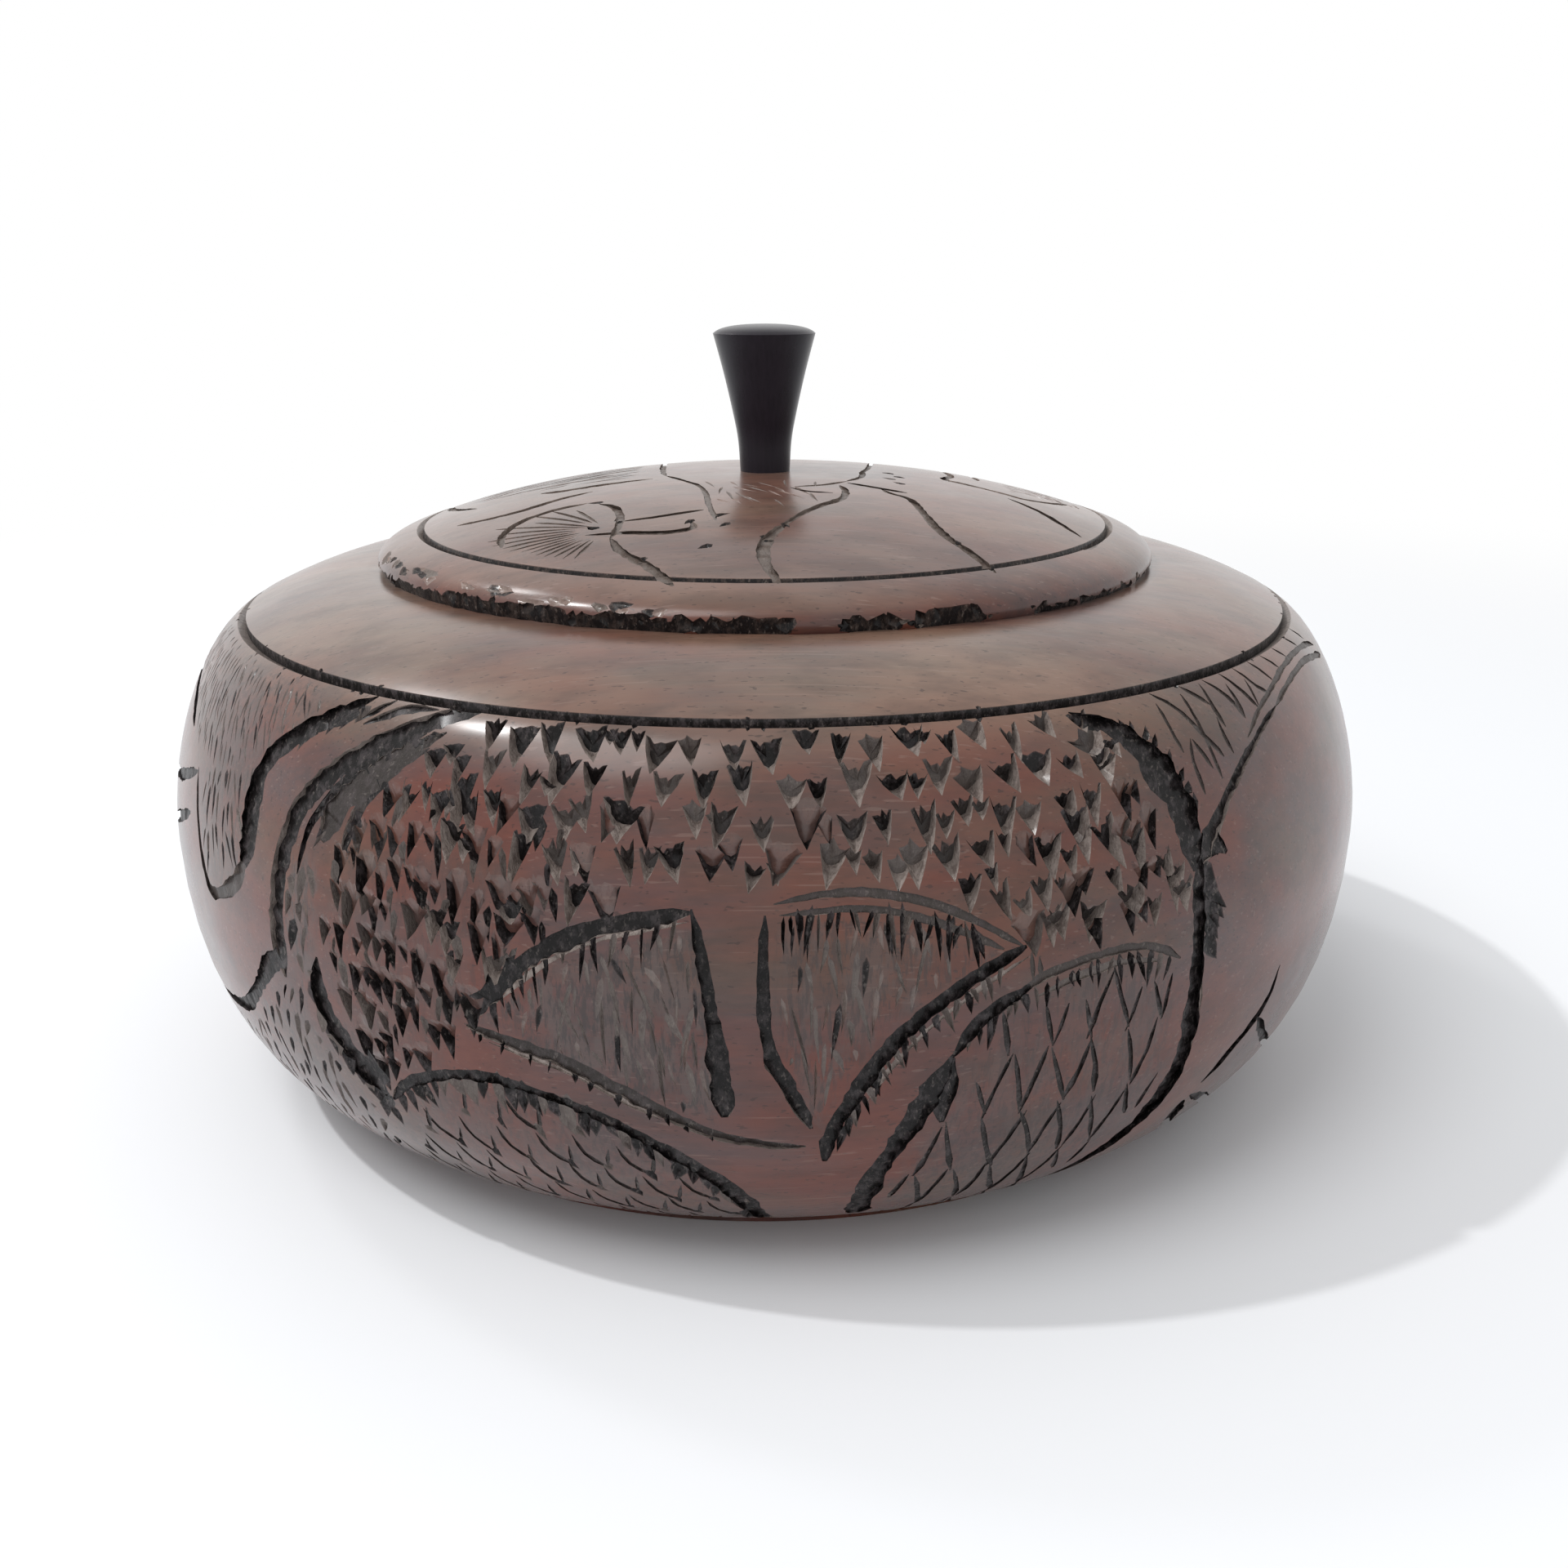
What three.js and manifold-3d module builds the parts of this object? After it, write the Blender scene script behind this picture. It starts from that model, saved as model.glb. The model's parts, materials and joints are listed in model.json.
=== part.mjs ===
// A turned wooden trinket box: a squat round bowl, a domed lid that drops into its mouth, and a slim
// blackwood knob glued into the lid. Millimetres, +Z up, origin on the table under the middle of the bowl.
import * as THREE from "three";
import { mergeVertices } from "three/addons/utils/BufferGeometryUtils.js";
import Module from "manifold-3d";

// Bowl, outside
const bellyRadius = 75;
const bellyHeight = 33; // height of the widest ring above the table
const footRadius = 58;
const footHeight = 1.9; // low turned foot that the bowl stands on
const footStep = 0.5; // how far the wall stands out past the foot
const bowlLowerFullness = 28.3; // how far below the belly the wall keeps its upright direction
const bowlUpperFullness = 9.6;
const grooveRadius = 65.2; // cut line between the carved wall and the plain shoulder
const grooveHeight = 57.5;
const grooveFullness = 5.8; // how far the wall keeps its slope outside the groove
const grooveSlope = 31.5; // degrees, of the wall at the groove
const bowlGrooveWidth = 1.2;
const bowlGrooveDepth = 1;
const seatHeight = 62; // flat ring that the lid rests on
const shoulderBulge = 1.5; // how far the plain shoulder is drawn up above a straight line

// Bowl, inside
const mouthRadius = 41;
const neckLength = 7; // straight bore under the seat
const wallThickness = 8;
const floorThickness = 8;
const floorRadius = 45; // flat part of the floor
const hollowFullness = 14;
const undercutReach = 15; // how level the hollow runs out from under the neck

// Lid
const lidRadius = 48.6; // at the seat
const lidOverhang = 0.6; // flat seat left showing outside the lid
const beadBulge = 1; // how far the edge bead is drawn out past the lid's radius
const beadLift = 1.5; // height at which it is drawn out
const beadHeight = 4.5; // up to the cut line between the bead and the dome
const beadFullness = 4.4; // how far the bead keeps its slope outside the cut line
const lidGrooveRadius = 43.5;
const lidGrooveSlope = 17; // degrees, of the lid at the cut line
const lidGrooveWidth = 1;
const lidGrooveDepth = 0.8;
const domeHeight = 10.5; // knob's seat above the bowl's seat
const domeEdge = 26; // radius where the slope of the dome's edge would reach the level of its top
const spigotDepth = 5;
const spigotClearance = 0.8; // all round, so that the lid drops in by hand
const spigotWall = 6.2;
const lidThickness = 8; // at the middle
const recessCorner = 5; // radius of the recess's inner corner

// Knob
const knobBaseRadius = 3.4;
const knobNeckRadius = 3.7; // at the top of the short straight foot of the knob
const knobNeckHeight = 4;
const knobTaper = 3; // how far the stem goes on straight above its foot
const knobTopRadius = 6.4;
const knobLength = 17; // up to the rim of the cap
const knobFlare = 7; // how far the stem runs straight below the rim
const knobFlareIn = 0.5; // how much narrower it is there
const capHeight = 1; // dome of the cap
const tenonRadius = 2.5;
const tenonLength = 5;
const tenonClearance = 0.3; // glue line round the tenon and below it

// Carving on the bowl's wall. It is drawn on the unrolled wall and stretches with it: u runs to the right
// from the middle of the front, and d runs down from the cut line to the foot.
const unitsPerRadian = 75;
const unitsDown = 65;
const gougeWidth = 2.4; // of a line with width 1 below
const gougeDepth = 1;
const gougeEnd = 0.2; // share of its width and depth left at each end
const gougeStep = 7; // in drawing units
const chipWidth = 3.3;
const chipHorn = 1.8; // from the chip's middle up to its two top corners
const chipTip = 2.5; // and down to its sharp end
const chipDeepest = 0.7; // and down to its deepest point
const chipDepth = 1.15;
const chipAcross = 3.75; // spacing in drawing units
const chipDown = 3.7;
const chipWander = 0.2; // share of the spacing by which a chip may stray
const chipSpread = 0.15; // share of its size by which it may be larger or smaller
const cutterLift = 2; // how far each cutter stands out of the wall

// Facets
const bowlSides = 48;
const knobSides = 36;
const curveSteps = 7;
const hollowSteps = 5;
const smallSteps = 7; // on the bead and the knob
const shallowSteps = 4; // on the shoulder and the cap

// Field of chips on the front, and the gouged lines of its borders and leaves, as points in u and d. The
// back has its mirror image, which closes the leaf on each side of the bowl.
const chipField = [
  [-31, 1.5], [34, 1.5], [38, 6], [41, 10], [43, 16], [43.5, 24], [36, 23], [30, 23.5], [25, 21],
  [20, 18.5], [13, 15.5], [8, 14.5], [1, 15.5], [-6, 15], [-12, 17], [-18, 19], [-23, 22.5], [-28, 27.5],
  [-33, 35], [-37, 38], [-40, 42], [-44, 39.5], [-47, 34], [-47.5, 26], [-46, 17], [-43, 12], [-38, 7],
];
const gouges = [
  { width: 1.1, line: [[-41, 6], [-47, 8.5], [-51, 12], [-54, 18], [-55.5, 25], [-54, 31]] },
  { width: 1.5, line: [[-33, 1], [-38, 5], [-43, 9.5], [-46, 14], [-49, 20], [-49, 28], [-48, 36],
    [-43, 41]] },
  { width: 0.9, line: [[-29.5, 30.5], [-25, 25.8], [-21, 22.3], [-16, 19.8], [-11, 18.6], [-7, 17.8]] },
  { width: 0.8, line: [[-7, 17.5], [-6, 21], [-5, 26], [-4.3, 32], [-3.5, 39]] },
  { width: 0.7, line: [[-29.5, 31], [-25, 32], [-20, 33.2], [-15, 35.5], [-10, 38.3], [-5, 40.8],
    [3.5, 42.3]] },
  { width: 0.7, line: [[-0.3, 18], [-0.5, 24], [0, 31], [2, 35.5], [4, 40]] },
  { width: 0.6, line: [[0.5, 17.3], [5, 16.5], [10, 16.6], [15, 18], [20, 20.2], [24.5, 22.5]] },
  { width: 0.9, line: [[24.5, 22.5], [19, 25], [14, 28], [10, 32], [7, 36.5], [5, 41], [4.6, 45]] },
  { width: 1.1, line: [[10.3, 59], [10.2, 52], [10.8, 46], [13, 40], [16, 34.5], [19.5, 29.8], [24, 27],
    [30, 25.4], [36, 25], [42.5, 27.5]] },
  { width: 1.4, line: [[35, 0.8], [39, 3.8], [42, 7], [43.8, 12], [44.5, 20], [45, 27], [46, 35], [46.3, 40],
    [45, 46], [42, 51], [35, 59]] },
  { width: 0.8, line: [[44, 19], [48, 16], [52, 12.5], [57, 9.5], [62, 7.5], [70, 5.2], [80, 4.4],
    [92, 5.8]] },
  { width: 0.7, line: [[59.5, 40], [65, 45], [72, 49.5], [79, 53.5], [86, 55], [93, 52.5], [99, 50.5]] },
  { width: 0.9, line: [[-40.5, 44], [-38, 40.5], [-34, 37.8], [-28, 36.2], [-22, 37.5], [-16, 39.5],
    [-11, 42], [-6, 46.5], [-3, 51], [0, 60]] },
  { width: 0.8, line: [[-80, 43], [-72, 41.5], [-66, 39.5], [-61, 35.5], [-57, 31.5], [-54, 29.5]] },
  { width: 0.8, line: [[-118, 4], [-111, 13], [-107, 26], [-109.5, 40], [-118, 54]] },
  { width: 0.8, line: [[118, 4], [111, 13], [107, 26], [109.5, 40], [118, 54]] },
];

const at = (r, z) => new THREE.Vector2(r, z);

// Curve from a to b; each handle is the offset of its control point from its end.
function bend(a, handleA, b, handleB) {
  return new THREE.CubicBezierCurve(a, a.clone().add(handleA), b.clone().add(handleB), b);
}

// Direction down and outwards along a surface of the given slope in degrees.
function downhill(slope) {
  const angle = THREE.MathUtils.degToRad(slope);
  return at(Math.cos(angle), -Math.sin(angle));
}

// Lower edge, bottom and upper edge of a V cut at p into a surface that rises inwards at the given slope.
function vCut(p, slope, width, depth) {
  const along = downhill(slope).negate();
  const inward = at(-along.y, along.x);
  return [
    p.clone().addScaledVector(along, -width / 2),
    p.clone().addScaledVector(inward, depth),
    p.clone().addScaledVector(along, width / 2),
  ];
}

// Closed solid of revolution about Z, from a profile that starts and ends on the axis.
function turned(profile, sides) {
  return new THREE.LatheGeometry(profile, sides).rotateX(Math.PI / 2);
}

function wood(name, color, roughness) {
  return new THREE.MeshStandardMaterial({ name, color, roughness, metalness: 0 });
}

const wasm = await Module();
wasm.setup();

// Solid of a closed geometry, without the flat triangles that a lathe leaves on its axis.
function toSolid(geometry) {
  const bare = geometry.clone().deleteAttribute("normal").deleteAttribute("uv");
  const merged = mergeVertices(bare);
  const corners = merged.index.array;
  const triangles = [];
  for (let i = 0; i < corners.length; i += 3) {
    const [a, b, c] = corners.slice(i, i + 3);
    if (a !== b && b !== c && c !== a) triangles.push(a, b, c);
  }
  return new wasm.Manifold(new wasm.Mesh({
    numProp: 3,
    vertProperties: merged.attributes.position.array,
    triVerts: new Uint32Array(triangles),
  }));
}

function toGeometry(solid) {
  const mesh = solid.getMesh();
  const geometry = new THREE.BufferGeometry();
  geometry.setAttribute("position", new THREE.BufferAttribute(mesh.vertProperties, 3));
  geometry.setIndex(new THREE.BufferAttribute(mesh.triVerts, 1));
  geometry.computeVertexNormals();
  return geometry;
}

function closedMesh(points, triangles) {
  return new THREE.BufferGeometry().setFromPoints(points).setIndex(triangles);
}

// Repeatable scatter between -1 and 1; part tells the numbers of one mark apart.
function scatter(mark, part) {
  const wide = Math.sin(mark * 12.9898 + part * 78.233) * 43758.5453;
  return 2 * (wide - Math.floor(wide)) - 1;
}

function isInside(outline, u, d) {
  let inside = false;
  outline.forEach(([u0, d0], i) => {
    const [u1, d1] = outline[(i + 1) % outline.length];
    if (d0 > d !== d1 > d && u < u0 + ((u1 - u0) * (d - d0)) / (d1 - d0)) inside = !inside;
  });
  return inside;
}

// Place on the wall for a point of the drawing: x to the right, y up and z out of the wall.
function onWall(wall, u, d) {
  const turn = u / unitsPerRadian - Math.PI / 2;
  const up = 1 - d / unitsDown;
  const p = wall.getPoint(up);
  const slope = wall.getTangent(up);
  const [c, s] = [Math.cos(turn), Math.sin(turn)];
  return new THREE.Matrix4().makeBasis(
    new THREE.Vector3(-s, c, 0),
    new THREE.Vector3(slope.x * c, slope.x * s, slope.y),
    new THREE.Vector3(slope.y * c, slope.y * s, -slope.x),
  ).setPosition(p.x * c, p.x * s, p.y);
}

// One chip: two facets from its sharp end meet the scoop below its two top corners at its deepest point.
function chipCutter(size) {
  const deepest = new THREE.Vector3(0, -chipDeepest, -chipDepth);
  const corners = [[chipWidth / 2, chipHorn], [-chipWidth / 2, chipHorn], [0, -chipTip]];
  const raised = corners.map(([x, y]) => {
    const corner = new THREE.Vector3(x, y, 0);
    return corner.sub(deepest).multiplyScalar(1 + cutterLift / chipDepth).add(deepest);
  });
  return closedMesh([deepest, ...raised], [0, 2, 1, 0, 3, 2, 0, 1, 3, 1, 2, 3]).scale(size, size, 1);
}

// One gouged line: a V that follows it and runs out to a point at each end.
function gougeCutter(wall, line, width) {
  const path = new THREE.SplineCurve(line.map(([u, d]) => at(u, d)));
  const steps = Math.max(3, Math.round(path.getLength() / gougeStep));
  const points = [];
  for (let i = 0; i <= steps; i++) {
    const p = path.getPointAt(i / steps);
    const along = path.getTangentAt(i / steps);
    const place = onWall(wall, p.x, p.y);
    const full = i === 0 || i === steps ? gougeEnd : 1;
    const depth = gougeDepth * full;
    const reach = (width * full * gougeWidth * (1 + cutterLift / depth)) / 2;
    const across = at(along.y, along.x).multiplyScalar(reach);
    points.push(
      new THREE.Vector3(0, 0, -depth).applyMatrix4(place),
      new THREE.Vector3(-across.x, -across.y, cutterLift).applyMatrix4(place),
      new THREE.Vector3(across.x, across.y, cutterLift).applyMatrix4(place),
    );
  }
  const triangles = [0, 1, 2];
  for (let i = 0; i < steps; i++) {
    for (let j = 0; j < 3; j++) {
      const [a, b] = [3 * i + j, 3 * i + ((j + 1) % 3)];
      triangles.push(a, a + 3, b, b, a + 3, b + 3);
    }
  }
  const last = 3 * steps;
  triangles.push(last, last + 2, last + 1);
  return closedMesh(points, triangles);
}

// Cutters for the front, or for its mirror image at the back.
function carvingCutters(wall, isBack) {
  const round = (u) => (isBack ? Math.PI * unitsPerRadian - u : u);
  const cutters = gouges.map(({ width, line }) =>
    gougeCutter(wall, line.map(([u, d]) => [round(u), d]), width));
  const columns = Math.ceil(unitsPerRadian / chipAcross); // to either side
  let mark = 0;
  for (let row = 0; row * chipDown < unitsDown; row++) {
    for (let column = -columns; column <= columns; column++) {
      mark += 1;
      const u = (column + (row % 2) / 2 + chipWander * scatter(mark, 0)) * chipAcross;
      const d = (row + 0.5 + chipWander * scatter(mark, 1)) * chipDown;
      const size = 1 + chipSpread * scatter(mark, 2);
      if (isInside(chipField, u, d)) {
        cutters.push(chipCutter(size).applyMatrix4(onWall(wall, round(u), d)));
      }
    }
  }
  return cutters;
}

function makeBowl() {
  const cut = vCut(at(grooveRadius, grooveHeight), grooveSlope, bowlGrooveWidth, bowlGrooveDepth);
  const seatEdge = at(lidRadius + beadBulge + lidOverhang, seatHeight);
  const belly = at(bellyRadius, bellyHeight);
  const hollowBelly = at(bellyRadius - wallThickness, bellyHeight);
  const neckBottom = at(mouthRadius, seatHeight - neckLength);
  const shoulderMiddle = cut[2].clone().add(seatEdge).divideScalar(2).add(at(0, shoulderBulge));
  const footEdge = at(footRadius + footStep, footHeight);
  const lowerWall = bend(footEdge, at(0, 0), belly, at(0, -bowlLowerFullness));
  const upperWall = bend(belly, at(0, bowlUpperFullness), cut[0],
    downhill(grooveSlope).multiplyScalar(grooveFullness));
  const profile = [
    at(0, 0),
    at(footRadius, 0),
    at(footRadius, footHeight),
    ...lowerWall.getPoints(curveSteps),
    ...upperWall.getPoints(curveSteps).slice(1),
    cut[1],
    ...new THREE.QuadraticBezierCurve(cut[2], shoulderMiddle, seatEdge).getPoints(shallowSteps),
    at(mouthRadius, seatHeight),
    ...bend(neckBottom, at(undercutReach, 0), hollowBelly, at(0, hollowFullness)).getPoints(hollowSteps),
    ...bend(hollowBelly, at(0, -hollowFullness), at(floorRadius, floorThickness),
      at(undercutReach, 0)).getPoints(hollowSteps).slice(1),
    at(0, floorThickness),
  ];
  const wall = new THREE.CurvePath();
  wall.add(lowerWall);
  wall.add(upperWall);
  wall.add(new THREE.LineCurve(cut[0], at(grooveRadius, grooveHeight)));
  const cutters = [...carvingCutters(wall, false), ...carvingCutters(wall, true)].map(toSolid);
  const carving = cutters.reduce((joined, cutter) => joined.add(cutter));
  const carved = toSolid(turned(profile, bowlSides)).subtract(carving);
  const bowl = new THREE.Mesh(toGeometry(carved), wood("bowl wood", "#5f4640", 0.45));
  bowl.name = "bowl";
  return bowl;
}

// Heights here are above the seat.
function makeLid() {
  const spigotRadius = mouthRadius - spigotClearance;
  const recessRadius = spigotRadius - spigotWall;
  const ceiling = domeHeight - lidThickness;
  const holeRadius = tenonRadius + tenonClearance;
  const holeBottom = domeHeight - tenonLength - tenonClearance;
  const padEdge = at(knobBaseRadius + tenonClearance, domeHeight);
  const cut = vCut(at(lidGrooveRadius, beadHeight), lidGrooveSlope, lidGrooveWidth, lidGrooveDepth);
  const cornerCut = recessCorner * (1 - Math.SQRT1_2);
  const profile = [
    at(0, ceiling),
    at(recessRadius - recessCorner, ceiling),
    at(recessRadius - cornerCut, ceiling - cornerCut),
    at(recessRadius, ceiling - recessCorner),
    at(recessRadius, -spigotDepth),
    at(spigotRadius, -spigotDepth),
    at(spigotRadius, 0),
    ...bend(at(lidRadius, 0), at(beadBulge, beadLift), cut[0],
      downhill(lidGrooveSlope).multiplyScalar(beadFullness)).getPoints(smallSteps),
    cut[1],
    ...new THREE.QuadraticBezierCurve(cut[2], at(domeEdge, domeHeight), padEdge).getPoints(curveSteps),
    at(holeRadius, domeHeight),
    at(holeRadius, holeBottom),
    at(0, holeBottom),
  ];
  const lid = new THREE.Mesh(turned(profile, bowlSides), wood("lid wood", "#6a4d44", 0.42));
  lid.name = "lid";
  return lid;
}

// Heights here are above the knob's seat on the lid.
function makeKnob() {
  const neck = at(knobNeckRadius, knobNeckHeight);
  const rim = at(knobTopRadius, knobLength);
  const apex = at(0, knobLength + capHeight);
  const profile = [
    at(0, -tenonLength),
    at(tenonRadius, -tenonLength),
    at(tenonRadius, 0),
    at(knobBaseRadius, 0),
    ...bend(neck, at(0, knobTaper), rim, at(-knobFlareIn, -knobFlare)).getPoints(smallSteps),
    ...new THREE.QuadraticBezierCurve(rim, at(knobTopRadius, apex.y), apex).getPoints(shallowSteps).slice(1),
  ];
  const knob = new THREE.Mesh(turned(profile, knobSides), wood("knob blackwood", "#231d24", 0.3));
  knob.name = "knob";
  return knob;
}

const lidAssembly = new THREE.Group();
lidAssembly.position.z = seatHeight;
const knob = makeKnob();
knob.position.z = domeHeight;
lidAssembly.add(makeLid(), knob);

const box = new THREE.Group();
box.add(makeBowl(), lidAssembly);
export default box;
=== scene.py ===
import json
import math
import random

import bpy
import numpy as np
from mathutils import Matrix, Vector

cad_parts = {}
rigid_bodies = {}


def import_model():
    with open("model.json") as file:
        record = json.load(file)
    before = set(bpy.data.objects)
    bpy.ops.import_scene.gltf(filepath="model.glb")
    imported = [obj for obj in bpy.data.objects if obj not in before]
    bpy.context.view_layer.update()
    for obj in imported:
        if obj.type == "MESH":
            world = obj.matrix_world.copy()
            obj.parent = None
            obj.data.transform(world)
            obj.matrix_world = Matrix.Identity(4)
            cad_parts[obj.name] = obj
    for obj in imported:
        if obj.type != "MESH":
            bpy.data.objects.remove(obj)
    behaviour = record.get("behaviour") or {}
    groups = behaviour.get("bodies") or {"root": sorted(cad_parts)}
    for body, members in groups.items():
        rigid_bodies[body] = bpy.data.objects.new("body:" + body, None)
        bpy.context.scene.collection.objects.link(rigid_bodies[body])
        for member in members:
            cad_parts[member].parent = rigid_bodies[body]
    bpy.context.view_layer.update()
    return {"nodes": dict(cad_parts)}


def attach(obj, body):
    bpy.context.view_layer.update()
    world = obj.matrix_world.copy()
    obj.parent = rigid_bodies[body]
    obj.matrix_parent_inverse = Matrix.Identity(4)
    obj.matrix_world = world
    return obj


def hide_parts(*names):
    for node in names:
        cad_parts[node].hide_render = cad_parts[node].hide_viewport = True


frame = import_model()
print("frame:", ", ".join(frame["nodes"]))

# Sizes are in millimetres. The carving on the bowl is drawn on its unrolled wall: u runs to the right
# round the belly from the middle of the front, and d runs down the wall from the cut line under the
# shoulder. The carving on the lid is drawn from above, x to the right and y to the back.
mm = 0.001


# Small helpers

def addNode(tree, kind, links=None, **settings):
    # a link comes from a socket or from a node's first output, and any other value is set on the socket
    node = tree.nodes.new(kind)
    for name, value in settings.items():
        setattr(node, name, value)
    for socket, value in (links or {}).items():
        if isinstance(value, bpy.types.Node):
            value = value.outputs[0]
        if isinstance(value, bpy.types.NodeSocket):
            tree.links.new(value, node.inputs[socket])
        else:
            node.inputs[socket].default_value = value
    return node


def fromHex(code):
    channels = [int(code[i:i + 2], 16) / 255 for i in (1, 3, 5)]
    return [c / 12.92 if c <= 0.04045 else ((c + 0.055) / 1.055) ** 2.4 for c in channels] + [1]


def newObject(name, vertices, edges, faces, collection=None):
    mesh = bpy.data.meshes.new(name)
    mesh.from_pydata([tuple(v) for v in vertices], edges, faces)
    made = bpy.data.objects.new(name, mesh)
    (collection or bpy.context.scene.collection).objects.link(made)
    return made


def setAttribute(mesh, name, kind, domain, values):
    field = "vector" if kind == "FLOAT_VECTOR" else "value"
    attribute = mesh.attributes.get(name) or mesh.attributes.new(name, kind, domain)
    attribute.data.foreach_set(field, np.asarray(values, np.int32 if kind == "INT" else np.float32).ravel())


def curve(a, handleA, b, handleB, steps):
    # the handles are offsets from the two ends
    a, b = np.array(a, float), np.array(b, float)
    c, d = a + handleA, b + handleB
    t = np.linspace(0, 1, steps + 1)[:, None]
    return (1 - t) ** 3 * a + 3 * (1 - t) ** 2 * t * c + 3 * (1 - t) * t ** 2 * d + t ** 3 * b


def arch(a, middle, b, steps):
    t = np.linspace(0, 1, steps + 1)[:, None]
    return (1 - t) ** 2 * np.array(a) + 2 * (1 - t) * t * np.array(middle) + t ** 2 * np.array(b)


def downhill(slope):
    return np.array((math.cos(math.radians(slope)), -math.sin(math.radians(slope))))


def vCut(p, slope, width, depth):
    # lower edge, bottom and upper edge of a V cut into a surface that rises inwards
    along = -downhill(slope)
    return [p - along * width / 2, p + np.array((-along[1], along[0])) * depth, p + along * width / 2]


def smoothPath(points, step):
    p = np.array(points, float)
    p = np.vstack([2 * p[0] - p[1], p, 2 * p[-1] - p[-2]])
    out = []
    for i in range(1, len(p) - 2):
        count = max(1, round(np.linalg.norm(p[i + 1] - p[i]) / step))
        for t in np.linspace(0, 1, count, endpoint=False):
            out.append(0.5 * (2 * p[i] + (p[i + 1] - p[i - 1]) * t
                              + (2 * p[i - 1] - 5 * p[i] + 4 * p[i + 1] - p[i + 2]) * t ** 2
                              + (3 * p[i] - p[i - 1] - 3 * p[i + 1] + p[i + 2]) * t ** 3))
    out.append(p[-2])
    return np.array(out)


def turned(name, profile, sides, cutRings=None):
    # closed solid of revolution, from a profile that starts and ends on the axis, bottom first; cutRings
    # gives the tooled value of the rings that are cut
    profile = np.array(profile) * mm
    vertices = [(0, 0, profile[0][1])]
    for r, z in profile[1:-1]:
        for k in range(sides):
            turn = 2 * math.pi * k / sides
            vertices.append((r * math.cos(turn), r * math.sin(turn), z))
    vertices.append((0, 0, profile[-1][1]))
    rings = len(profile) - 2
    faces, tooled = [], []
    for k in range(sides):
        j = (k + 1) % sides
        faces.append((0, 1 + j, 1 + k))
        tooled.append(0)
        for i in range(rings - 1):
            low, high = 1 + i * sides, 1 + (i + 1) * sides
            faces.append((low + k, low + j, high + j, high + k))
            tooled.append((cutRings or {}).get(i + 1, 0))
        faces.append((1 + (rings - 1) * sides + k, 1 + (rings - 1) * sides + j, len(vertices) - 1))
        tooled.append(0)
    made = newObject(name, vertices, [], faces)
    setAttribute(made.data, "tooled", "FLOAT", "FACE", tooled)
    return made


def inside(polygon, points):
    # even-odd test of many points against one outline
    polygon, points = np.array(polygon, float), np.array(points, float).reshape(-1, 2)
    result = np.zeros(len(points), bool)
    for (x0, y0), (x1, y1) in zip(polygon, np.roll(polygon, -1, axis=0)):
        if y0 == y1:
            continue
        crosses = (y0 > points[:, 1]) != (y1 > points[:, 1])
        result ^= crosses & (points[:, 0] < (x1 - x0) * (points[:, 1] - y0) / (y1 - y0) + x0)
    return result


class Skin:
    # outline of a turned surface, bottom first, with places and directions on it

    def __init__(self, line):
        self.line = np.array(line, float)
        step = np.diff(self.line, axis=0)
        self.s = np.r_[0, np.cumsum(np.hypot(step[:, 0], step[:, 1]))]

    def at(self, s):
        # radius, height and direction up the surface; takes one place or many
        reach = 0.8
        r, z = (np.interp(s, self.s, values) for values in self.line.T)
        dr, dz = (np.interp(s + reach, self.s, values) - np.interp(s - reach, self.s, values)
                  for values in self.line.T)
        return r, z, dr / np.hypot(dr, dz), dz / np.hypot(dr, dz)

    def place(self, turn, s):
        # position in metres, and unit vectors out of, to the right on and up the surface
        r, z, dr, dz = self.at(s)
        c, n = math.cos(turn), math.sin(turn)
        out = np.array((dz * c, dz * n, -dr))
        up = np.array((dr * c, dr * n, dz))
        return np.array((r * c, r * n, z)) * mm, out, np.array((-n, c, 0)), up

    def depthOf(self, points):
        # distance in mm below the surface and nearest place on it, for points in metres
        r, z = np.hypot(points[:, 0], points[:, 1]) / mm, points[:, 2] / mm
        best = np.full(len(points), 1e9)
        depth, where = np.zeros(len(points)), np.zeros(len(points))
        for i in range(len(self.line) - 1):
            a, b = self.line[i], self.line[i + 1]
            e = b - a
            length = math.hypot(*e)
            t = np.clip(((r - a[0]) * e[0] + (z - a[1]) * e[1]) / length ** 2, 0, 1)
            x, y = r - a[0] - t * e[0], z - a[1] - t * e[1]
            gap = np.hypot(x, y)
            near = gap < best
            side = (x * e[1] - y * e[0]) / length
            best[near] = gap[near]
            depth[near] = np.where(side > 0, -gap, gap)[near]
            where[near] = (self.s[i] + t * length)[near]
        return depth, where


# The carver's cutters. Each is a closed shape: an outline that lies in the surface, an inner ring and a
# deepest point below it, and a lifted ring above it. Its "tooled" values say how the wood is left: 1 is
# torn and stained near black, and below 0.5 is cut clean.

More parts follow.
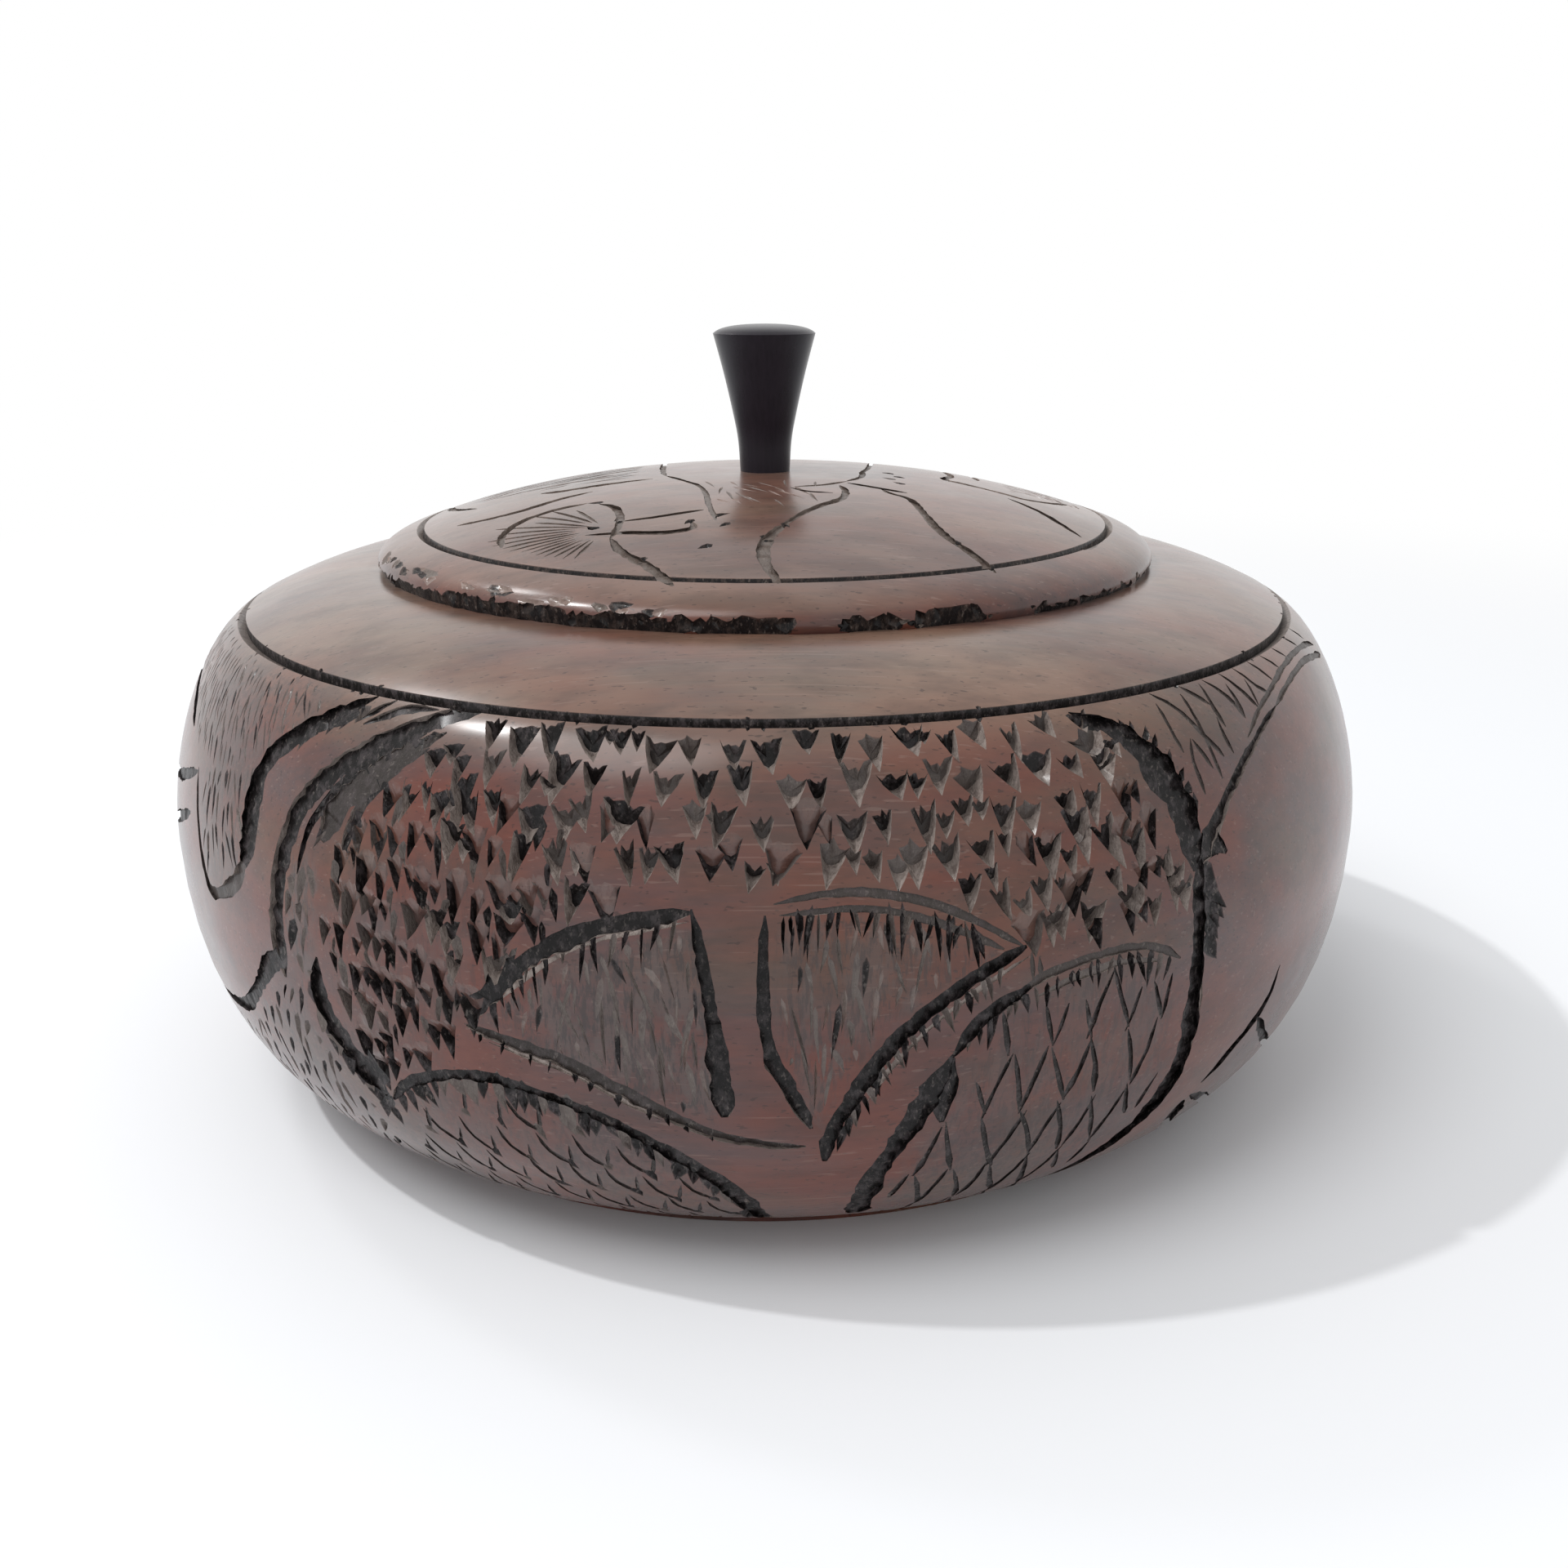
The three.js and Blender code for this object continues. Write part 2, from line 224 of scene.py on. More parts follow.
cutters = {
    # chips: half width, height of the two horns, the crown between them, the smile-shaped edge and the sharp
    # end, depth, and how the floor and the two lower facets are left
    "torn": {"kinds": 14, "half": 1.3, "horn": 1.35, "crown": 0.85, "jag": 0.5, "smile": 0.8, "tip": 2.5,
             "depth": 1.3, "top": 0.35, "floor": 1.0, "facets": 0.42},
    "tongue": {"kinds": 6, "half": 1.35, "horn": 0.9, "crown": 2.2, "jag": 0.25, "smile": 1.3, "tip": 2.4,
               "depth": 1.15, "top": 0.04, "floor": 0.04, "facets": 0.85},
    # shares between which one chip's values vary
    "vary": {"half": (0.88, 1.12), "tip": (0.88, 1.12), "depth": (0.88, 1.12), "smile": (0.5, 1.5),
             "crown": (0.7, 1.4), "horn": (0.6, 1.15), "floor": (0.72, 1), "facets": (0.75, 1.4)},
    "edgeWobble": 0.12, "innerWobble": 0.06, "tipWobble": 0.2,
    "strokeBends": (0.0, 0.5, -0.5), "strokeTones": {"dark": 1.0, "mid": 0.7, "pale": 0.06},
    "lift": 0.5, "flare": 0.35, "seed": 4,
    # tooled values of a wall that is cut clean, and of the lower and upper wall of a turned groove
    "clean": 0.42, "groove": (0.6, 1),
}


def ringCutter(name, outline, inner, deepest, tooled, collection):
    # tooled has a value for the wall below each edge of the outline, and a last one for the floor
    count, lift, flare = len(outline), cutters["lift"], cutters["flare"]
    vertices = [deepest, *inner, *[(x, y, 0) for x, y in outline]]
    vertices += [(x + (x - deepest[0]) * flare, y + (y - deepest[1]) * flare, lift) for x, y in outline]
    faces, values = [], []
    for i in range(count):
        j = (i + 1) % count
        faces += [(1 + i, 0, 1 + j), (1 + count + i, 1 + i, 1 + j, 1 + count + j),
                  (1 + 2 * count + i, 1 + count + i, 1 + count + j, 1 + 2 * count + j)]
        values += [tooled[-1], tooled[i], 1]
    faces.append(tuple(range(1 + 2 * count, 1 + 3 * count)))
    made = newObject(name, vertices, [], faces, collection)
    setAttribute(made.data, "tooled", "FLOAT", "FACE", [*values, 1])


def makeChip(name, chip, rng, collection):
    # a floor falls from the ragged crown between two horns to a smile-shaped edge, and two facets rise from
    # there to the sharp end below
    edge, within, aside = cutters["edgeWobble"], cutters["innerWobble"], cutters["tipWobble"]
    half, tip, depth, smile, crown, right, left, floor, facets = (
        chip[key] * rng.uniform(*cutters["vary"][key])
        for key in ("half", "tip", "depth", "smile", "crown", "horn", "horn", "floor", "facets"))
    outline, inner = [(half, right)], [(0.7, 0.5 * right, -0.5)]
    for x in (0.7, 0.42, 0.14, -0.14, -0.42, -0.7):
        horn = right if x > 0 else left
        y = horn + (crown - horn) * math.sqrt(1 - x * x) + rng.uniform(-1, 1) * chip["jag"]
        outline.append((x * half + rng.uniform(-edge, edge), y))
        inner.append((0.75 * x, min(0.6 * y, y - 0.25), -chip["top"]))
    outline += [(-half, left), (-0.78 * half, 0.1), (-0.36 * half, -0.56 * tip),
                (rng.uniform(-aside, aside), -tip), (0.36 * half, -0.56 * tip), (0.78 * half, 0.1)]
    inner += [(-0.7, 0.5 * left, -0.5), (-0.58, -0.1 * smile, -0.8), (-0.34, -0.75 * smile, -0.95),
              (0, -smile, -1), (0.34, -0.75 * smile, -0.95), (0.58, -0.1 * smile, -0.8)]
    inner = [(x * half + rng.uniform(-within, within), y + rng.uniform(-within, within), z * depth)
             for x, y, z in inner]
    middle = (rng.uniform(-aside, aside), 0.1 - 0.3 * smile, -(0.35 + 0.5 * chip["top"]) * depth - 0.35)
    ringCutter(name, outline, inner, middle, [floor] * 7 + [facets] * 6 + [floor], collection)


def makeCutters():
    shelf = bpy.data.collections.new("cutters")
    rng = random.Random(cutters["seed"])
    k = 0
    for family in ("torn", "tongue"):
        for i in range(cutters[family]["kinds"]):
            makeChip(f"cutter{k:02d}{family}", cutters[family], rng, shelf)
            k += 1
    # strokes are one unit wide, long and deep, and are scaled where they are used
    for tone, value in cutters["strokeTones"].items():
        for bend in cutters["strokeBends"]:
            outline = [(bend * 0.6, 0.5), (-0.46 + bend * 0.2, 0.3), (-0.38, -0.08), (bend * 0.4, -0.5),
                       (0.36, -0.05), (0.46 + bend * 0.2, 0.27)]
            inner = [(x * 0.5, y * 0.6, -0.75) for x, y in outline]
            ringCutter(f"cutter{k:02d}{tone}", outline, inner, (0, 0.08, -1), [value] * 7, shelf)
            k += 1
    return shelf


def chipKind(family, rng):
    return rng.randrange(cutters[family]["kinds"]) + (cutters["torn"]["kinds"] if family == "tongue" else 0)


def strokeKind(tone, rng):
    row = list(cutters["strokeTones"]).index(tone)
    bends = len(cutters["strokeBends"])
    return cutters["torn"]["kinds"] + cutters["tongue"]["kinds"] + row * bends + rng.randrange(bends)


# How a gouged line runs: the share of its width and depth left at its ends and how soon it is full, the mm
# between slow changes of its width and their share, how much of the chatter moves and widens it, where
# across it the clean lip starts, and how rough its walls are at the skin.
gouging = {
    "endShare": 0.12, "endFullness": 0.7, "swellEvery": 2.9, "swell": 0.2, "stray": 0.8, "widen": 0.6,
    "lipFrom": -0.15, "edgeRoughness": 0.12,
    # its section, down into the wood and sideways, as shares of depth and half width
    "section": [(-0.6, -1.3), (0, -1), (0.55, -0.78), (0.9, -0.4), (1, 0), (0.9, 0.4), (0.55, 0.78), (0, 1),
                (-0.6, 1.3)],
}


def carveTree():
    tree = bpy.data.node_groups.new("carve", "GeometryNodeTree")
    sockets = {"Geometry": "Geometry", "Marks": "Object", "Cutters": "Collection", "Gouge Lines": "Object",
               "Gouge Section": "Object", "Turn": "Float", "Size Spread": "Float", "Ragged": "Float",
               "Lip Tooled": "Float", "Seed": "Int", "Material": "Material"}
    for name, kind in sockets.items():
        tree.interface.new_socket(name, in_out="INPUT", socket_type="NodeSocket" + kind)
    tree.interface.new_socket("Geometry", in_out="OUTPUT", socket_type="NodeSocketGeometry")
    given = addNode(tree, "NodeGroupInput").outputs
    kinds = {"FLOAT_VECTOR": ("out", "along", "size", "line", "across"), "INT": ("cutter",),
             "FLOAT": ("halfWidth", "depth", "lean", "tone")}
    stored = {name: addNode(tree, "GeometryNodeInputNamedAttribute", {0: name}, data_type=kind)
              for kind, names in kinds.items() for name in names}

    # single cuts: one cutter on each mark, turned to the surface, and each a little different
    marks = addNode(tree, "GeometryNodeObjectInfo", {0: given["Marks"]})
    shelf = addNode(tree, "GeometryNodeCollectionInfo",
                    {"Collection": given["Cutters"], "Separate Children": True, "Reset Children": True})
    outward = addNode(tree, "FunctionNodeAlignRotationToVector", {"Vector": stored["out"]}, axis="Z")
    upright = addNode(tree, "FunctionNodeAlignRotationToVector",
                      {"Rotation": outward, "Vector": stored["along"]}, axis="Y", pivot_axis="Z")
    left = addNode(tree, "ShaderNodeMath", {0: given["Turn"], 1: -1.0}, operation="MULTIPLY")
    turn = addNode(tree, "FunctionNodeRandomValue", {2: left, 3: given["Turn"], "Seed": given["Seed"]})
    spin = addNode(tree, "ShaderNodeCombineXYZ", {2: turn.outputs[1]})
    turning = addNode(tree, "FunctionNodeRotateRotation", {0: upright, 1: spin}, rotation_space="LOCAL")
    small, large = (addNode(tree, "ShaderNodeMath", {0: 1.0, 1: given["Size Spread"]}, operation=kind)
                    for kind in ("SUBTRACT", "ADD"))
    lowest, highest = (addNode(tree, "ShaderNodeCombineXYZ", {0: share, 1: share, 2: share})
                       for share in (small, large))
    spread = addNode(tree, "FunctionNodeRandomValue",
                     {0: lowest, 1: highest, "Seed": given["Seed"]},
                     data_type="FLOAT_VECTOR")
    sized = addNode(tree, "ShaderNodeVectorMath", {0: stored["size"], 1: spread}, operation="MULTIPLY")
    cuts = addNode(tree, "GeometryNodeInstanceOnPoints",
                   {"Points": marks.outputs["Geometry"], "Instance": shelf, "Pick Instance": True,
                    "Instance Index": stored["cutter"], "Rotation": turning,
                    "Scale": sized})

    # gouged lines: the section is swept along each line, then set to its width, depth and lean
    lines = addNode(tree, "GeometryNodeObjectInfo", {0: given["Gouge Lines"]})
    section = addNode(tree, "GeometryNodeObjectInfo", {0: given["Gouge Section"]})
    route = addNode(tree, "GeometryNodeMeshToCurve", {0: lines.outputs["Geometry"]})
    facing = addNode(tree, "GeometryNodeSetCurveNormal",
                     {"Curve": route, "Normal": stored["out"]}, mode="FREE")
    shape = addNode(tree, "GeometryNodeMeshToCurve", {0: section.outputs["Geometry"]})
    sweep = addNode(tree, "GeometryNodeCurveToMesh",
                    {"Curve": facing, "Profile Curve": shape, "Fill Caps": True})
    here = addNode(tree, "GeometryNodeInputPosition")
    offset = addNode(tree, "ShaderNodeVectorMath", {0: here, 1: stored["line"]}, operation="SUBTRACT")
    height = addNode(tree, "ShaderNodeVectorMath", {0: offset, 1: stored["out"]},
                     operation="DOT_PRODUCT").outputs["Value"]
    side = addNode(tree, "ShaderNodeVectorMath", {0: offset, 1: stored["across"]},
                   operation="DOT_PRODUCT").outputs["Value"]
    # the wall that the gouge leans away from is left as a clean, paler lip
    away = addNode(tree, "ShaderNodeMath", {0: side, 1: stored["lean"]}, operation="MULTIPLY")
    isLip = addNode(tree, "ShaderNodeMath", {0: away, 1: gouging["lipFrom"]}, operation="LESS_THAN")
    lipOrTorn = addNode(tree, "ShaderNodeMapRange", {0: isLip, 3: stored["tone"], 4: given["Lip Tooled"]})
    torn = addNode(tree, "GeometryNodeStoreNamedAttribute",
                   {"Geometry": sweep, "Name": "tooled", "Value": lipOrTorn},
                   domain="FACE")
    # the walls are rough, more so towards the bottom, and the upper edges stay nearly true
    sunk = addNode(tree, "ShaderNodeMath", {0: height, 1: -1.0}, operation="MULTIPLY")
    below = addNode(tree, "ShaderNodeMath", {0: sunk, 1: 0.0}, operation="MAXIMUM")
    roughness = addNode(tree, "ShaderNodeMath", {0: below, 1: gouging["edgeRoughness"]}, operation="ADD")
    roughness = addNode(tree, "ShaderNodeMath", {0: roughness, 1: given["Ragged"]}, operation="MULTIPLY")
    otherSeed = addNode(tree, "ShaderNodeMath", {0: given["Seed"], 1: 1.0}, operation="ADD")
    chance = addNode(tree, "FunctionNodeRandomValue", {2: -1.0, 3: 1.0, "Seed": given["Seed"]})
    otherChance = addNode(tree, "FunctionNodeRandomValue", {2: -1.0, 3: 1.0, "Seed": otherSeed})
    widen = addNode(tree, "ShaderNodeMath", {0: chance.outputs[1], 1: roughness, 2: 1.0},
                    operation="MULTIPLY_ADD")
    deepen = addNode(tree, "ShaderNodeMath", {0: otherChance.outputs[1], 1: given["Ragged"], 2: 1.0},
                     operation="MULTIPLY_ADD")
    leant = addNode(tree, "ShaderNodeMath", {0: below, 1: stored["lean"], 2: side}, operation="MULTIPLY_ADD")
    half = addNode(tree, "ShaderNodeMath", {0: widen, 1: stored["halfWidth"]}, operation="MULTIPLY")
    deep = addNode(tree, "ShaderNodeMath", {0: deepen, 1: stored["depth"]}, operation="MULTIPLY")
    sideways = addNode(tree, "ShaderNodeMath", {0: leant, 1: half}, operation="MULTIPLY")
    outwards = addNode(tree, "ShaderNodeMath", {0: height, 1: deep}, operation="MULTIPLY")
    target = stored["line"]
    for direction, length in ((stored["across"], sideways), (stored["out"], outwards)):
        step = addNode(tree, "ShaderNodeVectorMath", {0: direction, 3: length}, operation="SCALE")
        target = addNode(tree, "ShaderNodeVectorMath", {0: target, 1: step})
    shaped = addNode(tree, "GeometryNodeSetPosition", {"Geometry": torn, "Position": target})
    island = addNode(tree, "GeometryNodeInputMeshIsland")
    gouges = addNode(tree, "GeometryNodeSplitToInstances",
                     {"Geometry": shaped, "Group ID": island}, domain="POINT")

    carved = addNode(tree, "GeometryNodeMeshBoolean", {"Mesh 1": given["Geometry"]},
                     operation="DIFFERENCE", solver="MANIFOLD")
    for cutting in (cuts, gouges):
        tree.links.new(cutting.outputs[0], carved.inputs["Mesh 2"])
    real = addNode(tree, "GeometryNodeRealizeInstances", {0: carved})
    painted = addNode(tree, "GeometryNodeSetMaterial", {"Geometry": real, "Material": given["Material"]})
    addNode(tree, "NodeGroupOutput", {0: painted})
    return tree


carving = carveTree()
cutterShelf = makeCutters()
ring = [(i, (i + 1) % len(gouging["section"])) for i in range(len(gouging["section"]))]
sectionObject = newObject("gougeSection", [(x, y, 0) for x, y in gouging["section"]], ring, [])


class Marks:
    # single cuts and gouged lines on one surface, placed by a function of two plane coordinates; flip is -1
    # where that function mirrors them

    def __init__(self, name, place, seed, flip=1):
        self.name, self.place, self.flip = name, place, flip
        self.rng = random.Random(seed)
        self.cuts, self.lines = [], []

    def cut(self, a, b, angle, size, kind):
        # the angle is in degrees, anticlockwise from straight up the surface
        at, out, right, up = self.place(a, b)
        lean = math.radians(angle * self.flip)
        self.cuts.append((at, out, up * math.cos(lean) - right * math.sin(lean), size, kind))

    def gouge(self, points, width, depth, lean=0.0, tone=1.0, taper=2.5, step=0.75, chatter=0.16):
        # width is a number or the widths from start to end, lean shifts the bottom sideways, and tone is the
        # tooled value of the walls
        path = smoothPath(points, step)
        s = np.r_[0, np.cumsum(np.linalg.norm(np.diff(path, axis=0), axis=1))]
        widths = np.atleast_1d(width).astype(float)
        widths = np.interp(s, np.linspace(0, s[-1], len(widths)), widths)
        ends = np.clip(np.minimum(s, s[-1] - s) / taper + gouging["endShare"], 0, 1) ** gouging["endFullness"]
        knots = np.arange(0, s[-1] + 6, gouging["swellEvery"])
        slow = np.interp(s, knots, [self.rng.uniform(-1, 1) for k in knots])
        places = [self.place(*p) for p in path]
        line = []
        for i, (at, out, right, up) in enumerate(places):
            along = places[min(i + 1, len(path) - 1)][0] - places[max(i - 1, 0)][0]
            across = np.cross(out, along)
            across /= np.linalg.norm(across)
            half = widths[i] / 2 * ends[i]
            stray, wide, deep = (self.rng.uniform(-chatter, chatter) for k in range(3))
            wide = 1 + wide * gouging["widen"] + slow[i] * gouging["swell"]
            line.append((at + across * stray * half * gouging["stray"] * mm, out, across, half * wide * mm,
                         depth * ends[i] * (1 + deep) * mm, lean * self.flip, tone))
        self.lines.append(line)

    def add(self, other):
        self.cuts += other.cuts
        self.lines += other.lines

    def objects(self):
        cuts = newObject(self.name + "Marks", [c[0] for c in self.cuts], [], [])
        setAttribute(cuts.data, "out", "FLOAT_VECTOR", "POINT", [c[1] for c in self.cuts])
        setAttribute(cuts.data, "along", "FLOAT_VECTOR", "POINT", [c[2] for c in self.cuts])
        setAttribute(cuts.data, "size", "FLOAT_VECTOR", "POINT", np.array([c[3] for c in self.cuts]) * mm)
        setAttribute(cuts.data, "cutter", "INT", "POINT", [c[4] for c in self.cuts])
        stations = [s for line in self.lines for s in line]
        edges, start = [], 0
        for line in self.lines:
            edges += [(start + i, start + i + 1) for i in range(len(line) - 1)]
            start += len(line)
        lines = newObject(self.name + "Gouges", [s[0] for s in stations], edges, [])
        for k, name in enumerate(("line", "out", "across")):
            setAttribute(lines.data, name, "FLOAT_VECTOR", "POINT", [s[k] for s in stations])
        for k, name in enumerate(("halfWidth", "depth", "lean", "tone")):
            setAttribute(lines.data, name, "FLOAT", "POINT", [s[3 + k] for s in stations])
        return cuts, lines


def carve(blank, name, marks, skin, material, settings):
    # cuts the marks into the turned blank and returns the carved piece as a plain mesh
    cuts, lines = marks.objects()
    inputs = {"Marks": cuts, "Cutters": cutterShelf, "Gouge Lines": lines, "Gouge Section": sectionObject,
              "Turn": math.radians(settings["turn"]), "Size Spread": settings["sizeSpread"],
              "Ragged": settings["ragged"], "Lip Tooled": cutters["clean"], "Seed": settings["seed"],
              "Material": material}
    modifier = blank.modifiers.new("carve", "NODES")
    modifier.node_group = carving
    identifiers = {s.name: s.identifier for s in carving.interface.items_tree if s.in_out == "INPUT"}
    for key, value in inputs.items():
        modifier[identifiers[key]] = value
    graph = bpy.context.evaluated_depsgraph_get()
    mesh = bpy.data.meshes.new_from_object(blank.evaluated_get(graph), depsgraph=graph)
    mesh.name = name
    piece = bpy.data.objects.new(name, mesh)
    bpy.context.scene.collection.objects.link(piece)
    for spare in (blank, cuts, lines):
        bpy.data.objects.remove(spare)
    for spare in ("line", "out", "across", "halfWidth", "depth", "lean", "tone"):
        if spare in mesh.attributes:
            mesh.attributes.remove(mesh.attributes[spare])
    smoothSkin(mesh, skin)
    return piece


def pointsOf(mesh):
    points = np.empty(len(mesh.vertices) * 3, np.float32)
    mesh.vertices.foreach_get("co", points)
    return points.reshape(-1, 3)


def smoothSkin(mesh, skin):
    # the uncut skin is shaded as the true turned surface, and each cut keeps its crisp edges
    onSkin, crease, deepest = 0.12, 32, 2  # mm, degrees, mm
    points = pointsOf(mesh)
    depth, where = skin.depthOf(points)
    dr, dz = skin.at(where)[2:]
    setAttribute(mesh, "cutDepth", "FLOAT", "POINT", np.clip(depth, 0, deepest))
    # how much the skin faces up, which the wood's colour uses to paint a sheen there
    setAttribute(mesh, "upward", "FLOAT", "POINT", np.clip(-dr, 0, 1))
    tooled = np.empty(len(mesh.polygons), np.float32)
    mesh.attributes["tooled"].data.foreach_get("value", tooled)
    totals = np.empty(len(mesh.polygons), np.int32)
    corners = np.empty(len(mesh.loops), np.int32)
    mesh.polygons.foreach_get("loop_total", totals)
    mesh.loops.foreach_get("vertex_index", corners)
    owner = np.repeat(np.arange(len(totals)), totals)
    wholeFace = np.ones(len(totals), bool)
    np.logical_and.at(wholeFace, owner, (np.abs(depth) < onSkin)[corners])
    use = (wholeFace & (tooled < 0.01))[owner]
    radius = np.maximum(np.hypot(points[:, 0], points[:, 1]), 1e-9)
    normals = np.stack([dz * points[:, 0] / radius, dz * points[:, 1] / radius, -dr], axis=1)
    mesh.shade_smooth()
    mesh.set_sharp_from_angle(angle=math.radians(crease))
    wanted = np.where(use[:, None], normals[corners], 0)
    mesh.normals_split_custom_set(wanted.tolist())


# Wood

def inMillimetres(tree):
    place = addNode(tree, "ShaderNodeTexCoord").outputs["Object"]
    return addNode(tree, "ShaderNodeVectorMath", {0: place, 3: 1 / mm}, operation="SCALE")


def newMaterial(name):
    material = bpy.data.materials.new(name)
    material.use_nodes = True
    tree = material.node_tree
    tree.nodes.clear()
    shader = addNode(tree, "ShaderNodeBsdfPrincipled")
    addNode(tree, "ShaderNodeOutputMaterial", {0: shader})
    return material, tree, shader


# Patterns of the carved wood: size in mm along x, y and z, detail, roughness, and the noise's values that
# become 0 and 1. The grain runs along x, as in a blank that was sawn flat.
woodPatterns = {
    "blotch": ((26, 15, 13), 3, 0.6, 0.4, 0.6),
    "band": ((50, 14, 12), 3, 0.6, 0.48, 0.66),
    "streak": ((12, 0.7, 0.7), 3, 0.6, 0.4, 0.62),
    "pore": ((1.0, 0.36, 0.36), 1, 0.5, 0.67, 0.72),
    "scratch": ((30, 0.35, 0.35), 1, 0.5, 0.66, 0.72),
    "sheenNoise": ((30, 18, 18), 3, 0.55, 0.36, 0.6),
    "dirt": ((9, 3.5, 3.0), 4, 0.62, 0.45, 0.64),
    "smear": ((2.4, 2.4, 6.5), 4, 0.66, 0.46, 0.55),
    "soot": ((0.6, 0.6, 2.8), 4, 0.7, 0.49, 0.58),
    "patch": ((0.9, 0.9, 1.4), 4, 0.72, 0.47, 0.6),
    "fleck": ((0.4, 0.4, 0.7), 2, 0.6, 0.6, 0.68),
    "gloss": ((8, 8, 8), 3, 0.6, 0.3, 0.7),
    "grain": ((2.0, 0.4, 0.4), 3, 0.6, 0.0, 1.0),
    "tear": ((0.45, 0.45, 0.9), 3, 0.7, 0.0, 1.0),
}
# Values stored on the mesh, and patterns, that are stretched: the two values that become the two results.
woodRanges = {
    # the first two ranges place a painted sheen: skin that faces up is painted paler, in patches
    "upper": ("upward", 0.5, 0.92, 0.0, 1.0), "sheenAmount": ("sheenNoise", 0.0, 1.0, 0.25, 1.0),
    "torn": ("tooled", 0.5, 0.9, 0.0, 1.0), "deep": ("cutDepth", 0.35, 1.2, 0.0, 1.0),
    "touched": ("tooled", 0.02, 0.1, 0.0, 1.0), "entered": ("cutDepth", 0.0, 0.1, 0.6, 1.0),
}
# Pairs that are multiplied.
# the third pair places the painted sheen on skin that faces up
woodProducts = {"smudged": ("smear", "smudge"), "sooty": ("soot", "smudge"), "paintedTopSheen": ("upper", "sheenAmount"),
                "isCut": ("touched", "entered")}
# A first colour, then coats that go over it: where, which colour, and its share.
woodCoats = {
    "skin": ("dark", [("blotch", "light", 0.85), ("band", "band", 0.5), ("streak", "streak", 0.16),
                      # the first coat on this line is a painted sheen, a pale tan on skin that faces up
                      ("paintedTopSheen", "paintedTopSheen", 0.5), ("pore", "pore", 0.5), ("dirt", "dirt", 0.34),
                      ("scratch", "scratch", 0.14), ("smudged", "smudge", 0.65), ("sooty", "soot", 0.75)]),
    # the deep coat makes a torn cut darker towards its bottom, going by its depth
    "stained": ("stain", [("patch", "stainWorn", 0.9), ("fleck", "fleck", 0.35), ("deep", "bottom", 0.6)]),
    "clean": ("cleanCut", [("patch", "cleanWorn", 0.7), ("fleck", "fleck", 0.3)]),
}
# Roughness of the skin around its own value and in the cuts, strength and height in mm of the bumps, and IOR.
woodFinish = {"roughnessSpread": (-0.07, 0.08), "roughnessInCuts": 0.5, "grainBump": (0.3, 0.05),
              "tearBump": (0.8, 0.4), "ior": 1.5}


def waxedCarvedWood(name, look):
    # Dark reddish hardwood, turned, carved and waxed. The wax gives the skin a soft satin sheen over a
    # blotchy red-brown with olive bands, fine pores along the grain and a few pale scratches, and a painted
    # sheen makes the skin that faces up paler in patches, as light from above would. The cuts hold less wax:
    # the torn ones are stained near black, and the clean ones show grey-brown wood.
    material, tree, shader = newMaterial(name)
    p = inMillimetres(tree)
    pattern = {key: addNode(tree, "ShaderNodeAttribute", attribute_name=key).outputs["Fac"]
               for key in ("tooled", "cutDepth", "smudge", "upward")}
    for key, (size, detail, rough, low, high) in woodPatterns.items():
        coords = addNode(tree, "ShaderNodeVectorMath", {0: p, 1: [1 / s for s in size]}, operation="MULTIPLY")
        noise = addNode(tree, "ShaderNodeTexNoise",
                        {"Vector": coords, "Scale": 1.0, "Detail": detail, "Roughness": rough})
        pattern[key] = addNode(tree, "ShaderNodeMapRange", {0: noise, 1: low, 2: high})
    for key, (source, low, high, least, most) in woodRanges.items():
        pattern[key] = addNode(tree, "ShaderNodeMapRange",
                               {0: pattern[source], 1: low, 2: high, 3: least, 4: most})
    for key, (one, other) in woodProducts.items():
        pattern[key] = addNode(tree, "ShaderNodeMath", {0: pattern[one], 1: pattern[other]},
                               operation="MULTIPLY")

    colour = {}
    for key, (base, coats) in woodCoats.items():
        colour[key] = fromHex(look[base])
        for where, paint, share in coats:
            factor = addNode(tree, "ShaderNodeMath", {0: pattern[where], 1: share}, operation="MULTIPLY")
            colour[key] = addNode(tree, "ShaderNodeMix",
                                  {0: factor, 6: colour[key], 7: fromHex(look[paint])},
                                  data_type="RGBA").outputs[2]
    cutColour = addNode(tree, "ShaderNodeMix", {0: pattern["torn"], 6: colour["clean"], 7: colour["stained"]},
                        data_type="RGBA")
    seen = addNode(tree, "ShaderNodeMix", {0: pattern["isCut"], 6: colour["skin"], 7: cutColour.outputs[2]},
                   data_type="RGBA")

    smoother, rougher = (look["roughness"] + spread for spread in woodFinish["roughnessSpread"])
    shine = addNode(tree, "ShaderNodeMapRange", {0: pattern["gloss"], 3: smoother, 4: rougher})
    rough = addNode(tree, "ShaderNodeMix",
                    {0: pattern["isCut"], 2: shine, 3: woodFinish["roughnessInCuts"]})
    wax = addNode(tree, "ShaderNodeMapRange", {0: pattern["isCut"], 3: look["wax"], 4: look["waxInCuts"]})
    (grain, grainHeight), (tear, tearHeight) = woodFinish["grainBump"], woodFinish["tearBump"]
    skinBump = addNode(tree, "ShaderNodeBump",
                       {"Height": pattern["grain"], "Strength": grain, "Distance": grainHeight * mm})
    inCuts = addNode(tree, "ShaderNodeMath", {0: pattern["tear"], 1: pattern["isCut"]}, operation="MULTIPLY")
    bump = addNode(tree, "ShaderNodeBump", {"Height": inCuts, "Strength": tear,
                                            "Distance": tearHeight * mm, "Normal": skinBump})
    for source, socket in ((seen.outputs[2], "Base Color"), (rough.outputs[0], "Roughness"),
                           (bump.outputs[0], "Normal"), (wax.outputs[0], "Coat Weight")):
        tree.links.new(source, shader.inputs[socket])
    shader.inputs["Coat Roughness"].default_value = look["waxRoughness"]
    shader.inputs["IOR"].default_value = woodFinish["ior"]
    shader.inputs["Specular IOR Level"].default_value = look["sheen"]
    return material


